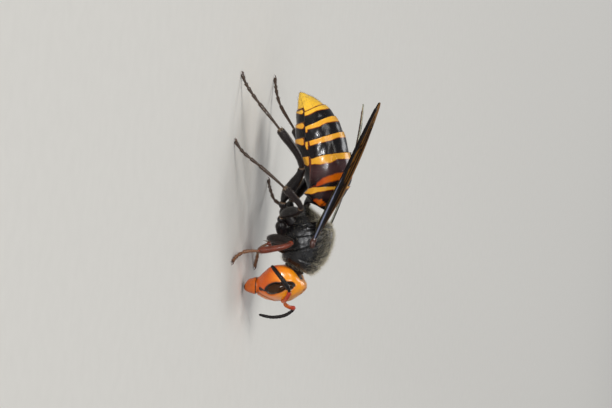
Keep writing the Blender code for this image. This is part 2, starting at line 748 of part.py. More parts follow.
def limb(name, points, start_way, end_way, radii, kind, steps):
    # A leg piece whose two ends are bevelled round the joint.
    bm = bmesh.new()
    path = smooth_path(points, start_way, end_way, steps)
    radii = radius_list(radii, steps)
    path = [path[0], path[0] + start_way.normalized() * JOINT_BEVEL] + path[1:-1] + \
        [path[-1] - end_way.normalized() * JOINT_BEVEL, path[-1]]
    radii = [radii[0] * JOINT_END] + radii + [radii[-1] * JOINT_END]
    tube(bm, path, radii, LEG_SIDES, start_way, end_way)
    return add_node(name, bm, [kind])


def scaled(rows, factor):
    return [(place, value * factor) for place, value in rows]


def spike(points, radius, kind):
    # A short tapering spur or claw, to be fused to a limb.
    bm = bmesh.new()
    start_way, end_way = points[1] - points[0], points[-1] - points[-2]
    path = smooth_path(points, start_way, end_way, SPIKE_STEPS)
    radii = [radius * (1 - SPIKE_TAPER * k / SPIKE_STEPS) for k in range(SPIKE_STEPS + 1)]
    tube(bm, path, radii, SPIKE_SIDES, start_way, end_way)
    keep_above_floor(bm)
    return add_node("spike", bm, [kind])


def keep_above_floor(bm):
    for vert in bm.verts:
        vert.co.z = max(vert.co.z, 0.0)


def tarsus_radii(steps):
    # Five tarsal pieces, each thin at its start and flared at its end.
    radii = []
    for k in range(steps + 1):
        place = k / steps
        low = max(cut for cut in TARSUS_CUTS[:-1] if cut <= place + 1e-6)
        high = min(cut for cut in TARSUS_CUTS[1:] if cut > low)
        part = (place - low) / (high - low)
        radii.append(TARSUS_THIN + (TARSUS_THICK - TARSUS_THIN) * part)
    return radii


def make_leg(label, places):
    pair, side_label = label.split("_")
    side = 1 if side_label == "l" else -1
    joints = [Vector(place) for place in places]
    coxa_tip, root, knee, ankle, first, fourth, claw = joints
    seat_place, seat_below = COXA_SEATS[pair]
    seat, out = thorax_seat(seat_place, seat_below, side)
    scale = LEG_SCALE[pair]
    kind = "fore_leg" if pair == "fore" else "leg"

    hip_way = joint_way(coxa_tip, root, knee)
    knee_way = joint_way(root, knee, ankle)
    ankle_way = joint_way(knee, ankle, first)
    half = GAP / 2
    limb(pair + "_coxa_" + side_label, [seat + out * GAP, coxa_tip, root - hip_way * half],
         out, hip_way, scaled(COXA_RADII, scale), "leg", LIMB_STEPS)
    limb(pair + "_femur_" + side_label, [root + hip_way * half, knee - knee_way * half],
         hip_way, knee_way, scaled(FEMUR_RADII, scale), "leg", LIMB_STEPS)
    tibia = limb(pair + "_tibia_" + side_label, [knee + knee_way * half, ankle - ankle_way * half],
                 knee_way, ankle_way, scaled(TIBIA_RADII, scale), kind, TIBIA_STEPS)
    shin = (ankle - knee).normalized()
    foot = (first - ankle).normalized()
    away = (shin - foot - shin * (shin - foot).dot(shin)).normalized()
    sideways = shin.cross(away)
    end_radius = TIBIA_RADII[-1][1] * scale
    spurs = []
    for lean in SPURS[pair]:
        way = (away + sideways * lean).normalized()
        base = ankle - shin * (GAP + SPUR_RADIUS * 2) + way * (end_radius - SPUR_RADIUS)
        tip = base + (shin + way * SPUR_LEAN).normalized() * SPUR_LENGTH
        spurs.append(spike([base, base.lerp(tip, 0.5) + way * SPUR_RADIUS / 2, tip], SPUR_RADIUS, kind))
    fuse(tibia, spurs)

    bm = bmesh.new()
    end_way = claw - fourth
    path = smooth_path([ankle + ankle_way * half, first, fourth, claw], ankle_way, end_way, TARSUS_STEPS)
    tube(bm, path, tarsus_radii(TARSUS_STEPS), TARSUS_SIDES, ankle_way, end_way)
    keep_above_floor(bm)
    tarsus = add_node(pair + "_tarsus_" + side_label, bm, [kind])
    level = Vector((end_way.x, end_way.y, 0)).normalized()
    across = Vector((-level.y, level.x, 0))
    claws = []
    for lean in (-CLAW_SPREAD, CLAW_SPREAD):
        way = (level + across * lean).normalized()
        base = claw - level * CLAW_RADIUS + way * CLAW_RADIUS / 2
        tip = base + way * CLAW_LENGTH
        middle = base.lerp(tip, 0.55) + Vector((0, 0, CLAW_ARCH))
        tip.z = CLAW_TIP_HEIGHT
        claws.append(spike([base, middle, tip], CLAW_RADIUS, kind))
    fuse(tarsus, claws)


def main():
    clear_scene()
    make_head()
    make_mandibles()
    make_antennae()
    make_thorax()
    make_gaster()
    make_wings()
    for label, places in LEGS.items():
        make_leg(label, places)


main()
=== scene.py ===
import math
import bmesh
import bpy
import numpy as np
from mathutils import Matrix, Vector


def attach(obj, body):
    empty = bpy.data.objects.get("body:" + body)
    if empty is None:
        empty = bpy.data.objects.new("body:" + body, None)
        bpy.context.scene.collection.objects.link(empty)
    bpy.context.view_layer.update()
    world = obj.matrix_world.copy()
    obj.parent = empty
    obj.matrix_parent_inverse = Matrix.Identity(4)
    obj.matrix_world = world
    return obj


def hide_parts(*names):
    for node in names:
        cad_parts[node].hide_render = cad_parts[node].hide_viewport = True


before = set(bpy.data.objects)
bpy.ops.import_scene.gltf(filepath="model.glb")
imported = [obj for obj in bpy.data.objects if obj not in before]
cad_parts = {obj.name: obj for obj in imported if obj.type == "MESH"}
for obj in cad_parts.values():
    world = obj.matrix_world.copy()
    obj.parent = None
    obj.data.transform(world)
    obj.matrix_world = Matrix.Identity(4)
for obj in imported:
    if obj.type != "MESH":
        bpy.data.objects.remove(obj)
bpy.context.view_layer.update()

# Asian giant hornet, a still life-size museum model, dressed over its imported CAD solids.
# Every shape is worked out in the hornet's own millimetres: the origin is the floor point under
# the jaw tips, +X is forward, +Y is its left side and +Z is up. addPiece() and hairMesh() turn them
# into metres.
mm = 0.001
modelShift = np.array([16.44, 0.265, 0.0])  # moves that origin under the middle of the whole box
leastHeight = 0.004                         # mm that every piece stays above the floor
footHeight = 0.005                          # the same for leg rings, spurs and claws
draw = np.random.default_rng(7)
scene = bpy.context.scene


# Small tools for shapes, materials and pieces.

def hexColour(text, alpha=1.0):
    # An sRGB hex colour as the linear colour that a shader wants.
    parts = [int(text[k:k + 2], 16) / 255 for k in (0, 2, 4)]
    return [p / 12.92 if p <= 0.04045 else ((p + 0.055) / 1.055) ** 2.4 for p in parts] + [alpha]


def rowsAt(rows, places):
    # Values at many places at once, read from a smooth curve through the keyed rows.
    table = np.array(rows, float)
    places = np.asarray(places, float)
    at, values = table[:, 0], table[:, 1:]
    slopes = np.gradient(values, at, axis=0)
    low = np.clip(np.searchsorted(at, places) - 1, 0, len(at) - 2)
    span = (at[low + 1] - at[low])[..., None]
    t = np.clip((places - at[low])[..., None] / span, 0, 1)
    rise = (3 - 2 * t) * t * t
    mixed = values[low] * (1 - rise) + values[low + 1] * rise
    mixed = mixed + slopes[low] * (t * (1 - t) ** 2 * span) + slopes[low + 1] * (t * t * (t - 1) * span)
    return np.moveaxis(mixed, -1, 0)


def straightAt(rows, places):
    # The same with straight lines between rows of one value each.
    at, values = np.array(rows, float).T
    return np.interp(places, at, values)


def powerPart(value, power):
    return np.sign(value) * np.abs(value) ** (2.0 / power)


def roundAngles(sides):
    return 2 * np.pi * np.arange(sides) / sides


def hump(value, reach):
    return np.exp(-(value / reach) ** 2)


def ramp(low, high, value):
    t = np.clip((value - low) / (high - low), 0, 1)
    return t * t * (3 - 2 * t)


def unit(vectors):
    vectors = np.asarray(vectors, float)
    return vectors / np.maximum(np.linalg.norm(vectors, axis=-1, keepdims=True), 1e-9)


def ripple(points, size, seed):
    # Smooth uneven values from about -1 to 1 over points, each swell about size mm across.
    own = np.random.default_rng(seed)
    total = np.zeros(points.shape[:-1])
    for _ in range(9):
        way = unit(own.normal(size=3)) * own.uniform(0.6, 1.6) * 2 * math.pi / size
        total += np.sin(points @ way + own.uniform(0, 6.3))
    return total / 3.2


def gridNormals(grid):
    # Outward directions of a closed tube of rings, from the neighbours along and around.
    along = np.gradient(grid, axis=0)
    around = np.roll(grid, -1, axis=1) - np.roll(grid, 1, axis=1)
    way = unit(np.cross(around, along))
    middle = grid.mean(axis=1, keepdims=True)
    if (way * (grid - middle)).sum() < 0:
        way = -way
    return way


def gridFaces(rings, sides, closed=True):
    k = np.arange(rings - 1)[:, None]
    j = np.arange(sides if closed else sides - 1)[None, :]
    after = (j + 1) % sides
    return np.stack([k * sides + j, k * sides + after, (k + 1) * sides + after,
                     (k + 1) * sides + j], -1).reshape(-1, 4).tolist()


def tubeSkin(grid, fields=None):
    # A closed skin over rings, with a pole at each end. Fields are one value for each grid point.
    rings, sides = grid.shape[:2]
    verts = np.concatenate([grid.reshape(-1, 3), grid[0].mean(0)[None], grid[-1].mean(0)[None]])
    faces = gridFaces(rings, sides)
    first, last = rings * sides, rings * sides + 1
    for j in range(sides):
        after = (j + 1) % sides
        faces.append([first, after, j])
        faces.append([last, (rings - 1) * sides + j, (rings - 1) * sides + after])
    grown = {}
    for label, values in (fields or {}).items():
        flat = np.broadcast_to(values, (rings, sides)).reshape(-1)
        grown[label] = np.concatenate([flat, [flat[:sides].mean(), flat[-sides:].mean()]])
    return verts, faces, grown


def joinSkins(skins):
    verts, faces, fields, start = [], [], {}, 0
    for one in skins:
        verts.append(one[0])
        faces += [[index + start for index in face] for face in one[1]]
        for label, values in one[2].items():
            fields.setdefault(label, []).append(values)
        start += len(one[0])
    return np.concatenate(verts), faces, {label: np.concatenate(parts) for label, parts in fields.items()}


def showMesh(name, mesh, fields, material):
    # The visible piece of a mesh: smooth, with one value of each field at every point, riding on the body.
    mesh.shade_smooth()
    for label, values in fields.items():
        layer = mesh.attributes.new(label, "FLOAT", "POINT")
        layer.data.foreach_set("value", np.ascontiguousarray(values, dtype=np.float32))
    mesh.materials.append(material)
    piece = bpy.data.objects.new(name, mesh)
    scene.collection.objects.link(piece)
    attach(piece, "root")
    return piece


def addPiece(name, skin, material, stands=()):
    # One piece in metres from a skin in mm, standing for the CAD nodes it names.
    verts, faces, fields = skin
    verts = np.stack([verts[:, 0], verts[:, 1], np.maximum(verts[:, 2], leastHeight)], -1)
    mesh = bpy.data.meshes.new(name)
    mesh.from_pydata(((verts + modelShift) * mm).tolist(), [], faces)
    work = bmesh.new()
    work.from_mesh(mesh)
    bmesh.ops.recalc_face_normals(work, faces=work.faces)
    work.to_mesh(mesh)
    work.free()
    piece = showMesh(name, mesh, fields, material)
    if stands:
        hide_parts(*stands)


def addNode(tree, kind, settings=None, sockets=None, output=0):
    # One shader node: its own settings, and for each socket a value, a hex colour or a node's output.
    node = tree.nodes.new("ShaderNode" + kind)
    for label, value in (settings or {}).items():
        setattr(node, label, value)
    for label, value in (sockets or {}).items():
        if isinstance(value, bpy.types.NodeSocket):
            tree.links.new(value, node.inputs[label])
        else:
            node.inputs[label].default_value = hexColour(value) if isinstance(value, str) else value
    return node.outputs[output]


def newMaterial(name, shaderValues):
    # A material with its Principled shader set, ready for the nodes that colour and bump it.
    made = bpy.data.materials.new(name)
    made.use_nodes = True
    shader = made.node_tree.nodes["Principled BSDF"]
    for label, value in shaderValues.items():
        shader.inputs[label].default_value = value
    return made, made.node_tree, shader


def pattern(tree, kind, size, detail=3, stretch=(1, 1, 1)):
    # Noise swells or pits about size mm across, laid over the object.
    place = addNode(tree, "TexCoord", output="Object")
    if stretch != (1, 1, 1):
        place = addNode(tree, "Mapping", None, {"Vector": place, "Scale": stretch})
    return addNode(tree, kind, None, {"Vector": place, "Scale": 1.0 / (size * mm), "Detail": detail})


def spread(tree, label, low, high, wobble=0.0, size=1.6):
    # 0 below low and 1 above high of a field in mm, its edge made uneven by noise of a size in mm.
    field = addNode(tree, "Attribute", {"attribute_name": label}, output="Fac")
    if wobble:
        noise = pattern(tree, "TexNoise", size)
        field = addNode(tree, "Math", {"operation": "MULTIPLY_ADD"}, {0: noise, 1: wobble * 2, 2: field})
        low, high = low + wobble, high + wobble
    return addNode(tree, "MapRange", {"interpolation_type": "SMOOTHSTEP"},
                   {"Value": field, "From Min": low, "From Max": high})


def paint(tree, base, *layers):
    # A base colour and the layers over it, each with how much of it shows and its colour.
    for amount, colour in layers:
        base = addNode(tree, "Mix", {"data_type": "RGBA"}, {0: amount, 6: base, 7: colour}, 2)
    return base


def finishWith(tree, shader, colour, *layers, coatToo=True):
    # The colour of a shader, and bump layers one over the other: strength, depth in mm, pattern values.
    tree.links.new(colour, shader.inputs["Base Color"])
    normal = None
    for strength, depth, *values in layers:
        sockets = {"Height": pattern(tree, *values), "Strength": strength, "Distance": depth * mm}
        if normal is not None:
            sockets["Normal"] = normal
        normal = addNode(tree, "Bump", None, sockets)
    if normal is not None:
        tree.links.new(normal, shader.inputs["Normal"])
        if coatToo:
            tree.links.new(normal, shader.inputs["Coat Normal"])


# Camera, floor and light.

view = {
    "elevation": 10.0,      # degrees above the floor
    "turn": 0.0714,         # slope of the body line against the picture's upright
    "target": (-15.28, 0.0, 10.2),
    "distance": 0.45,
    "frameWidth": 0.1071,   # metres across the picture at the target
}
rise, tilt = math.radians(view["elevation"]), math.atan(view["turn"])
upright = Vector((0, math.sin(rise), math.cos(rise)))
forward = Vector((1, 0, 0))
right = upright * math.cos(tilt) - forward * math.sin(tilt)
above = -upright * math.sin(tilt) - forward * math.cos(tilt)
back = right.cross(above)
target = Vector((np.array(view["target"]) + modelShift) * mm)

lens = bpy.data.cameras.new("camera")
lens.sensor_width = 36
lens.lens = 36 * view["distance"] / view["frameWidth"]
lens.clip_start = 0.01
camera = bpy.data.objects.new("camera", lens)
camera.matrix_world = Matrix.LocRotScale(
    target + back * view["distance"],
    Matrix((right, above, back)).transposed().to_quaternion(), None)
scene.collection.objects.link(camera)
scene.camera = camera

floorSettings = {"half": 4.0, "colour": "E9E7E2", "mottle": "E3E1DC"}  # half a side in metres
# matt seamless paper, pressed: no gloss and a faint mottle
floorMaterial, tree, shader = newMaterial("matt_studio_paper", {"Roughness": 0.9})
mottle = pattern(tree, "TexNoise", 3.0)
finishWith(tree, shader, paint(tree, floorSettings["colour"], (mottle, floorSettings["mottle"])))
half = floorSettings["half"]
floorMesh = bpy.data.meshes.new("floor")
floorMesh.from_pydata([(-half, -half, 0), (half, -half, 0), (half, half, 0), (-half, half, 0)], [],
                      [(0, 1, 2, 3)])
floorMesh.materials.append(floorMaterial)
floor = bpy.data.objects.new("floor", floorMesh)
scene.collection.objects.link(floor)

air = {"colour": (0.95, 0.97, 1.0, 1), "strength": 0.23}
world = bpy.data.worlds.new("studio")
world.use_nodes = True
world.node_tree.nodes["Background"].inputs["Color"].default_value = air["colour"]
world.node_tree.nodes["Background"].inputs["Strength"].default_value = air["strength"]
scene.world = world
scene.view_settings.view_transform = "Standard"  # keeps the strong oranges from paling

# way from the target to each lamp, distance and size in metres, power in watts
lamps = {
    "key": {"way": (-0.35, -0.6, 0.75), "away": 2.0, "size": 0.9, "power": 20.0, "colour": (1, 0.98, 0.94)},
    "flash": {"way": (-0.13, -0.98, 0.02), "away": 2.0, "size": 0.13, "power": 24.0, "colour": (1, 1, 1)},
    "fill": {"way": (0.5, -0.6, 0.45), "away": 2.0, "size": 1.2, "power": 4.0, "colour": (0.95, 0.98, 1)},
    "rim": {"way": (-0.2, 0.7, 0.7), "away": 2.0, "size": 0.8, "power": 9.0, "colour": (1, 1, 1)},
}
for label, lamp in lamps.items():
    light = bpy.data.lights.new(label, "AREA")
    light.size = lamp["size"]
    light.energy = lamp["power"]
    light.color = lamp["colour"]
    holder = bpy.data.objects.new(label, light)
    way = Vector(lamp["way"]).normalized()
    holder.location = target + way * lamp["away"]
    holder.rotation_mode = "QUATERNION"
    holder.rotation_quaternion = way.to_track_quat("Z", "Y")
    scene.collection.objects.link(holder)
print("stage: camera, floor and lights")


# The head with its face plate, feeler sockets and eyes.

head = {
    # height, front, rear, half width
    "rows": [(3.05, 1.1, -2.7, 2.7), (4.0, 1.5, -3.55, 3.65), (5.2, 1.75, -4.2, 4.4), (6.5, 1.95, -4.6, 4.8),
             (7.8, 1.9, -4.5, 4.85), (9.0, 1.5, -4.0, 4.5), (10.0, 0.8, -3.2, 3.65), (10.75, 0.05, -2.45, 2.4)],
    "crown": 0.5,           # how far the crown rises over the last row
    "power": 2.35,
    "cheekPower": 4.6,      # the same for the full rear half of the cheeks
    "cheekSpan": (4.0, 6.0, 9.4, 10.6),  # heights where they begin, are full, thin out and end
    "napeDent": 1.0,
    "napeWidth": 2.3,
    # swellings of the face: y, z, reach along each, stand
    "swells": [(0, 4.5, 1.9, 1.75, 0.24), (0, 8.2, 0.5, 1.0, 0.14), (-1.4, 7.3, 0.6, 0.6, -0.28),
               (1.4, 7.3, 0.6, 0.6, -0.28)],
    # the face plate: height, half width
    "clypeus": [(2.9, 1.7), (3.7, 2.2), (4.6, 2.25), (5.4, 1.75), (6.0, 1.2), (6.4, 0.75), (6.6, 0.05)],
    "plateTeeth": (1.0, 0.35, 0.16),     # the two teeth of its lower rim: how far out, reach, depth
    "socket": (1.4, 7.3, 0.42),          # of a feeler: how far out, height, radius
    "cheekLine": [(0.05, 3.83, 0.2), (0.3, 4.7, 0.13), (0.42, 5.15, 0.2)],  # x, z, half width
    # depths in mm of the carved lines and beds
    "carve": {"plate": 0.1, "socket": 0.22, "brow": 0.05, "cheek": 0.05, "eyeBed": 0.4, "eyeRim": 0.1},
    "nape": (8.6, 1.9),     # dark patch at the neck: height, radius
    "mouth": (-0.8, 1.7),   # opening between the jaws, painted dark as shade: x, radius
    "mouthSag": 0.12,
    "mouthHollow": 0.5,
    "darkening": (-3.95, 3.4, 6.2, 0.75),    # painted shade, dark red, where the cheek turns under: x, how far out, z, reach
    # simple eyes: x, y, z, radius
    "ocelli": [(0.3, 0.0, 10.32, 0.26), (-0.45, -0.6, 10.87, 0.26), (-0.45, 0.6, 10.87, 0.26)],
    "sides": 280,
    "levels": 190,
    "crownRings": 20,
    "mouthRings": 12,
}
eye = {
    # place, x, z, half width, half thickness
    "rows": [(0, 0.5, 5.15, 0.1, 0.15), (0.07, 0.4, 5.4, 0.55, 0.42), (0.3, -0.15, 6.5, 0.93, 0.6),
             (0.55, -0.45, 7.6, 0.76, 0.58), (0.72, -0.8, 8.35, 0.52, 0.52), (0.86, -0.78, 8.95, 0.64, 0.55),
             (0.96, -0.85, 9.5, 0.44, 0.4), (1, -0.88, 9.7, 0.1, 0.15)],
    "sink": 0.3,            # mm that its middle line lies under the skin of the head
    "steps": 72,
    "sides": 56,
}


def headPoints(height, angle):
    front, rear, halfWidth = rowsAt(head["rows"], height)
    middle, depth = (front + rear) / 2, (front - rear) / 2
    facing = np.cos(angle)
    begin, full, thinOut, end = head["cheekSpan"]
    cheek = ramp(0.0, -0.35, facing) * ramp(begin, full, height) * ramp(end, thinOut, height)
    power = head["power"] + (head["cheekPower"] - head["power"]) * cheek
    x = middle + powerPart(facing, power) * depth
    y = powerPart(np.sin(angle), power) * halfWidth
    dent = hump(y, head["napeWidth"]) * head["napeDent"] * np.maximum(-facing, 0) * np.minimum(1, halfWidth / 3)
    x = x + dent
    for placeY, placeZ, reachY, reachZ, stand in head["swells"]:
        away = ((y - placeY) / reachY) ** 2 + ((height - placeZ) / reachZ) ** 2
        x = x + np.where(facing >= 0, stand * np.exp(-away ** 2), 0)
    return np.stack([x, y, height + 0 * x], -1)


def headSide(x, height, side):
    front, rear, halfWidth = rowsAt(head["rows"], height)
    middle, depth = (front + rear) / 2, (front - rear) / 2
    part = np.minimum(np.abs(x - middle) / depth, 0.999)
    y = side * halfWidth * (1 - part ** head["power"]) ** (1 / head["power"])
    return np.stack([x + 0 * y, y, height + 0 * y], -1)


def headWayOut(x, height, side):
    along = headSide(x + 0.05, height, side) - headSide(x - 0.05, height, side)
    upward = headSide(x, height + 0.05, side) - headSide(x, height - 0.05, side)
    return unit(np.cross(along, upward) * -side)


def eyePath(side, count):
    places = (1 - np.cos(np.pi * np.arange(count + 1) / count)) / 2
    x, height, halfWidth, thick = rowsAt(eye["rows"], places)
    out = headWayOut(x, height, side)
    return headSide(x, height, side), out, halfWidth, thick


def nearestOnPath(points, path, widths):
    # Distance in mm from each point to the edge of a band of changing width, negative inside it.
    best = np.full(points.shape[:-1], 99.0)
    ahead = np.zeros(points.shape[:-1])
    for a, b, wa, wb in zip(path[:-1], path[1:], widths[:-1], widths[1:]):
        line = b - a
        t = np.clip(((points - a) @ line) / max(line @ line, 1e-9), 0, 1)
        gap = np.linalg.norm(points - a - t[..., None] * line, axis=-1) - (wa + (wb - wa) * t)
        offset = (points - a)[..., 0] - t * line[0]
        ahead = np.where(gap < best, offset, ahead)
        best = np.minimum(best, gap)
    return best, ahead


def headSkin():
    low, high = head["rows"][0][0], head["rows"][-1][0]
    angle = roundAngles(head["sides"])
    heights = low + (high - low) * np.arange(head["levels"]) / (head["levels"] - 1)
    grid = headPoints(heights[:, None], angle[None, :])
    topRing, lowRing = grid[-1], grid[0]
    centreTop = np.array([(topRing[:, 0].max() + topRing[:, 0].min()) / 2, 0, high])
    centreLow = np.array([(lowRing[:, 0].max() + lowRing[:, 0].min()) / 2, 0, low])
    crown, mouth = [], []
    for k in range(1, head["crownRings"]):
        part = 1 - k / head["crownRings"]
        ring = centreTop + (topRing - centreTop) * part
        ring[:, 2] = high + head["crown"] * (1 - part ** 2)
        crown.append(ring)
    for k in range(1, head["mouthRings"]):
        part = 1 - k / head["mouthRings"]
        ring = centreLow + (lowRing - centreLow) * part
        ring[:, 2] = low - head["mouthSag"] * np.sin(np.pi * part) + head["mouthHollow"] * (1 - part ** 2)
        mouth.append(ring)
    grid = np.concatenate([np.array(mouth[::-1]), grid, np.array(crown)])
    out = gridNormals(grid)
    x, y, z = np.moveaxis(grid, -1, 0)
    facing = x > -0.6
    carve = head["carve"]

    # clypeus plate: grooved all round, its lower rim drawn into two blunt teeth
    plateLow, plateTop = head["clypeus"][0][0], head["clypeus"][-1][0]
    halfPlate = rowsAt(head["clypeus"], np.clip(z, plateLow, plateTop))[0]
    plate = np.where(facing, np.maximum(np.abs(y) - halfPlate, z - plateTop), 3.0)
    lift = -carve["plate"] * hump(plate, 0.1) + 0.05 * hump(plate + 0.3, 0.25)
    # feeler sockets with a raised rim
    socket = np.where(facing, np.hypot(np.abs(y) - head["socket"][0], z - head["socket"][1])
                      - head["socket"][2], 3.0)
    lift += -carve["socket"] * ramp(0.08, -0.12, socket) + 0.07 * hump(socket - 0.16, 0.12)
    # line down the middle of the brow, and the cheek line from the eye to the jaw joint
    brow = np.where(facing & (z > 6.7), np.abs(y), 3.0)
    lift += -carve["brow"] * hump(brow, 0.09) * ramp(6.7, 7.2, z)
    # the socket hollows are painted black: partly the feeler's dark joint, partly painted shade in the hollow
    lines = np.minimum(np.abs(plate) * 0.8 - 0.05, socket - 0.05)
    rimAll = np.full(x.shape, 99.0)
    for side in (1, -1):
        stops = [headSide(np.array(at), np.array(height), side) for at, height, _ in head["cheekLine"]]
        cheek, _ = nearestOnPath(grid, np.array(stops), [halfWidth for _, _, halfWidth in head["cheekLine"]])
        lift += -carve["cheek"] * hump(cheek, 0.1)
        hinge = np.array([stops[0] - (0, 0, 0.15), stops[0] + (0, 0, 0.25)])
        joint, _ = nearestOnPath(grid, hinge, np.array([0.34, 0.28]))
        lines = np.minimum(lines, np.minimum(cheek, joint))
        path, _, widths, _ = eyePath(side, 40)
        rim, ahead = nearestOnPath(grid, path, widths)
        lift += -carve["eyeBed"] * ramp(0.02, -0.25, rim) - carve["eyeRim"] * hump(rim - 0.03, 0.08)
        lift += 0.07 * hump(rim - 0.3, 0.16)
        # the rim is black, widest along the hind side of the eye
        lines = np.minimum(lines, rim - 0.05 - 0.2 * ramp(0.15, -0.2, ahead))
        rimAll = np.minimum(rimAll, rim)
    # ridge where the cheek turns to the back of the head
    turn = x + 3.1 + 0.9 * hump(z - 7.0, 3.0)
    lift += 0.05 * hump(turn, 0.18) * ramp(1.5, 2.6, np.abs(y))
    lift += 0.02 * ripple(grid, 1.6, 3)
    for placeX, placeY, placeZ, radius in head["ocelli"]:
        away = np.linalg.norm(grid - np.array([placeX, placeY, placeZ]), axis=-1) - radius
        lift += 0.06 * hump(away - 0.15, 0.12)
        lines = np.minimum(lines, away - 0.05)
    napeHeight, napeRadius = head["nape"]
    nape = np.where(x < -2.0, np.hypot(y, (z - napeHeight) * 0.8) - napeRadius, 3.0)
    lines = np.minimum(lines, nape * 0.8)
    # painted shade: the opening between the jaws is painted near black
    mouthX, mouthRadius = head["mouth"]
    mouthHole = np.where(z < 3.4, np.hypot(x - mouthX, y * 0.8) - mouthRadius, 3.0)
    lines = np.minimum(lines, mouthHole)
    toothOut, toothReach, toothDepth = head["plateTeeth"]
    teeth = hump(np.abs(y) - toothOut, toothReach) * toothDepth * ramp(3.5, 3.0, z) * (x > 0.3)
    skin = grid + out * lift[..., None]
    skin[..., 2] -= teeth
    # painted light and shade: the cheek is painted deeper orange low down and at its rear, and paler over its
    # upper rear around the highlight
    deep = ramp(7.0, 4.6, z) * ramp(1.6, -0.2, x) + 0.6 * ramp(-2.6, -4.0, x) * ramp(8.5, 6.0, z)
    pale = ramp(6.4, 8.2, z) * ramp(-4.4, -2.4, x)
    # painted shade: the cheek darkens to red where it turns under, at its rear edge
    stainX, stainOut, stainZ, stainReach = head["darkening"]
    fromStain = np.stack([x - stainX, (np.abs(y) - stainOut) * 0.6, z - stainZ], -1)
    darkening = hump(np.linalg.norm(fromStain, axis=-1), stainReach)
    return skin, out, {"line": lines, "deep": np.clip(deep, 0, 1), "pale": pale, "darkening": darkening,
                       "rim": rimAll}


cuticleOrange, tree, shader = newMaterial("polished_cuticle_orange", {
    # chitin, IOR 1.56, smooth and waxed: a clear broad highlight over a warm pigment
    "IOR": 1.56, "Roughness": 0.38, "Specular IOR Level": 0.2, "Coat Weight": 0.75, "Coat Roughness": 0.19,
    "Subsurface Weight": 0.06, "Subsurface Radius": (0.0012, 0.0005, 0.0001), "Subsurface Scale": 0.4,
})
# the last of these layers is painted shade, dark red where the cheek turns under at its rear
deep, pale, rearShade = [addNode(tree, "Attribute", {"attribute_name": label}, output="Fac")
                        for label in ("deep", "pale", "darkening")]
# the deep and pale layers are painted shade and painted light on the cheek
orange = paint(tree, "EE8406", (deep, "CE5802"), (pale, "F59E0C"), (rearShade, "B82C04"))
cloud = pattern(tree, "TexNoise", 1.1, 4)
orange = paint(tree, orange, (cloud, paint(tree, orange, (0.35, "B84004"))))
edge = spread(tree, "line", -0.03, 0.05, 0.03, 0.2)
# the orange darkens to deep red within about a third of a mm of the black lines
darkening = spread(tree, "line", 0.0, 0.35, 0.06, 0.667)
orange = paint(tree, paint(tree, orange, (0.5, "8A2A04")), (darkening, orange))
finishWith(tree, shader, paint(tree, "120A07", (edge, orange)),
           (0.18, 0.06, "TexNoise", 0.5, 3), (0.12, 0.03, "TexVoronoi", 0.13, 0))

headGrid, headOut, headFields = headSkin()
addPiece("head_shell", tubeSkin(headGrid, headFields), cuticleOrange, ["head"])


def eyeSkin(side):
    path, out, halfWidth, thick = eyePath(side, eye["steps"])
    centre = path - out * eye["sink"]
    along = unit(np.gradient(centre, axis=0))
    across = unit(np.cross(along, out))
    angle = roundAngles(eye["sides"])
    grid = (centre[:, None] + across[:, None] * (np.cos(angle)[None, :, None] * halfWidth[:, None, None])
            + out[:, None] * (np.sin(angle)[None, :, None] * thick[:, None, None]))
    return tubeSkin(grid, {"up": np.sin(angle)[None, :]})


cornea, tree, shader = newMaterial("faceted_cornea", {
    # clear grown lenses over dark pigment, IOR 1.5: nearly black brown with a hard small highlight
    "IOR": 1.5, "Roughness": 0.14, "Specular IOR Level": 0.12, "Coat Weight": 0.35, "Coat Roughness": 0.04,
})
brown = paint(tree, "241002", (pattern(tree, "TexNoise", 0.8, 3), "3C2002"))
rimDark = spread(tree, "up", 0.1, 0.65)
# facets 0.03 mm across in life, drawn at 0.07 mm to show
finishWith(tree, shader, paint(tree, "080403", (rimDark, brown)),
           (0.2, 0.012, "TexVoronoi", 0.07, 0), coatToo=False)
for side, label in ((1, "l"), (-1, "r")):
    addPiece("eye_dome_" + label, eyeSkin(side), cornea, ["eye_" + label])


def ballSkin(centre, radii, rings=16, sides=24):
    lat = np.pi * (np.arange(rings) + 0.5) / rings
    lon = roundAngles(sides)
    shape = np.stack([np.sin(lat)[:, None] * np.cos(lon), np.sin(lat)[:, None] * np.sin(lon),
                      np.cos(lat)[:, None] + 0 * lon], -1)
    return tubeSkin(shape * np.array(radii) + np.array(centre))


ocellusGlass, tree, shader = newMaterial("ocellus_lens", {
    # a single smooth clear lens: a bead of amber with a sharp glint
    "IOR": 1.5, "Roughness": 0.08, "Coat Weight": 1.0, "Coat Roughness": 0.03})
finishWith(tree, shader, paint(tree, "8A4A12", (pattern(tree, "TexNoise", 0.3), "3A1A08")))
beads = [ballSkin(bead[:3], (bead[3],) * 3) for bead in head["ocelli"]]
addPiece("ocelli", joinSkins(beads), ocellusGlass)
print("stage: head, eyes and ocelli")


# The jaws.

jaw = {
    # place, x, y, z, half depth, half breadth
    "rows": [(-0.18, -0.5, 1.85, 3.2, 1.17, 0.95), (0.0, -0.45, 1.75, 2.72, 1.45, 1.15),
             (0.35, -0.36, 1.45, 1.95, 1.34, 1.15), (0.7, -0.3, 0.92, 1.1, 1.07, 0.72),
             (0.92, -0.06, 0.58, 0.5, 0.52, 0.38), (1.0, 0.0, 0.42, 0.3, 0.2, 0.2)],
    "steps": 90,
    "sides": 64,
    "seam": -0.035,         # place of the black ring where the jaw leaves the head
    "teeth": [(0.5, 0.05, 0.2), (0.66, 0.045, 0.22), (0.8, 0.04, 0.2)],  # place, half length, depth of nick
}


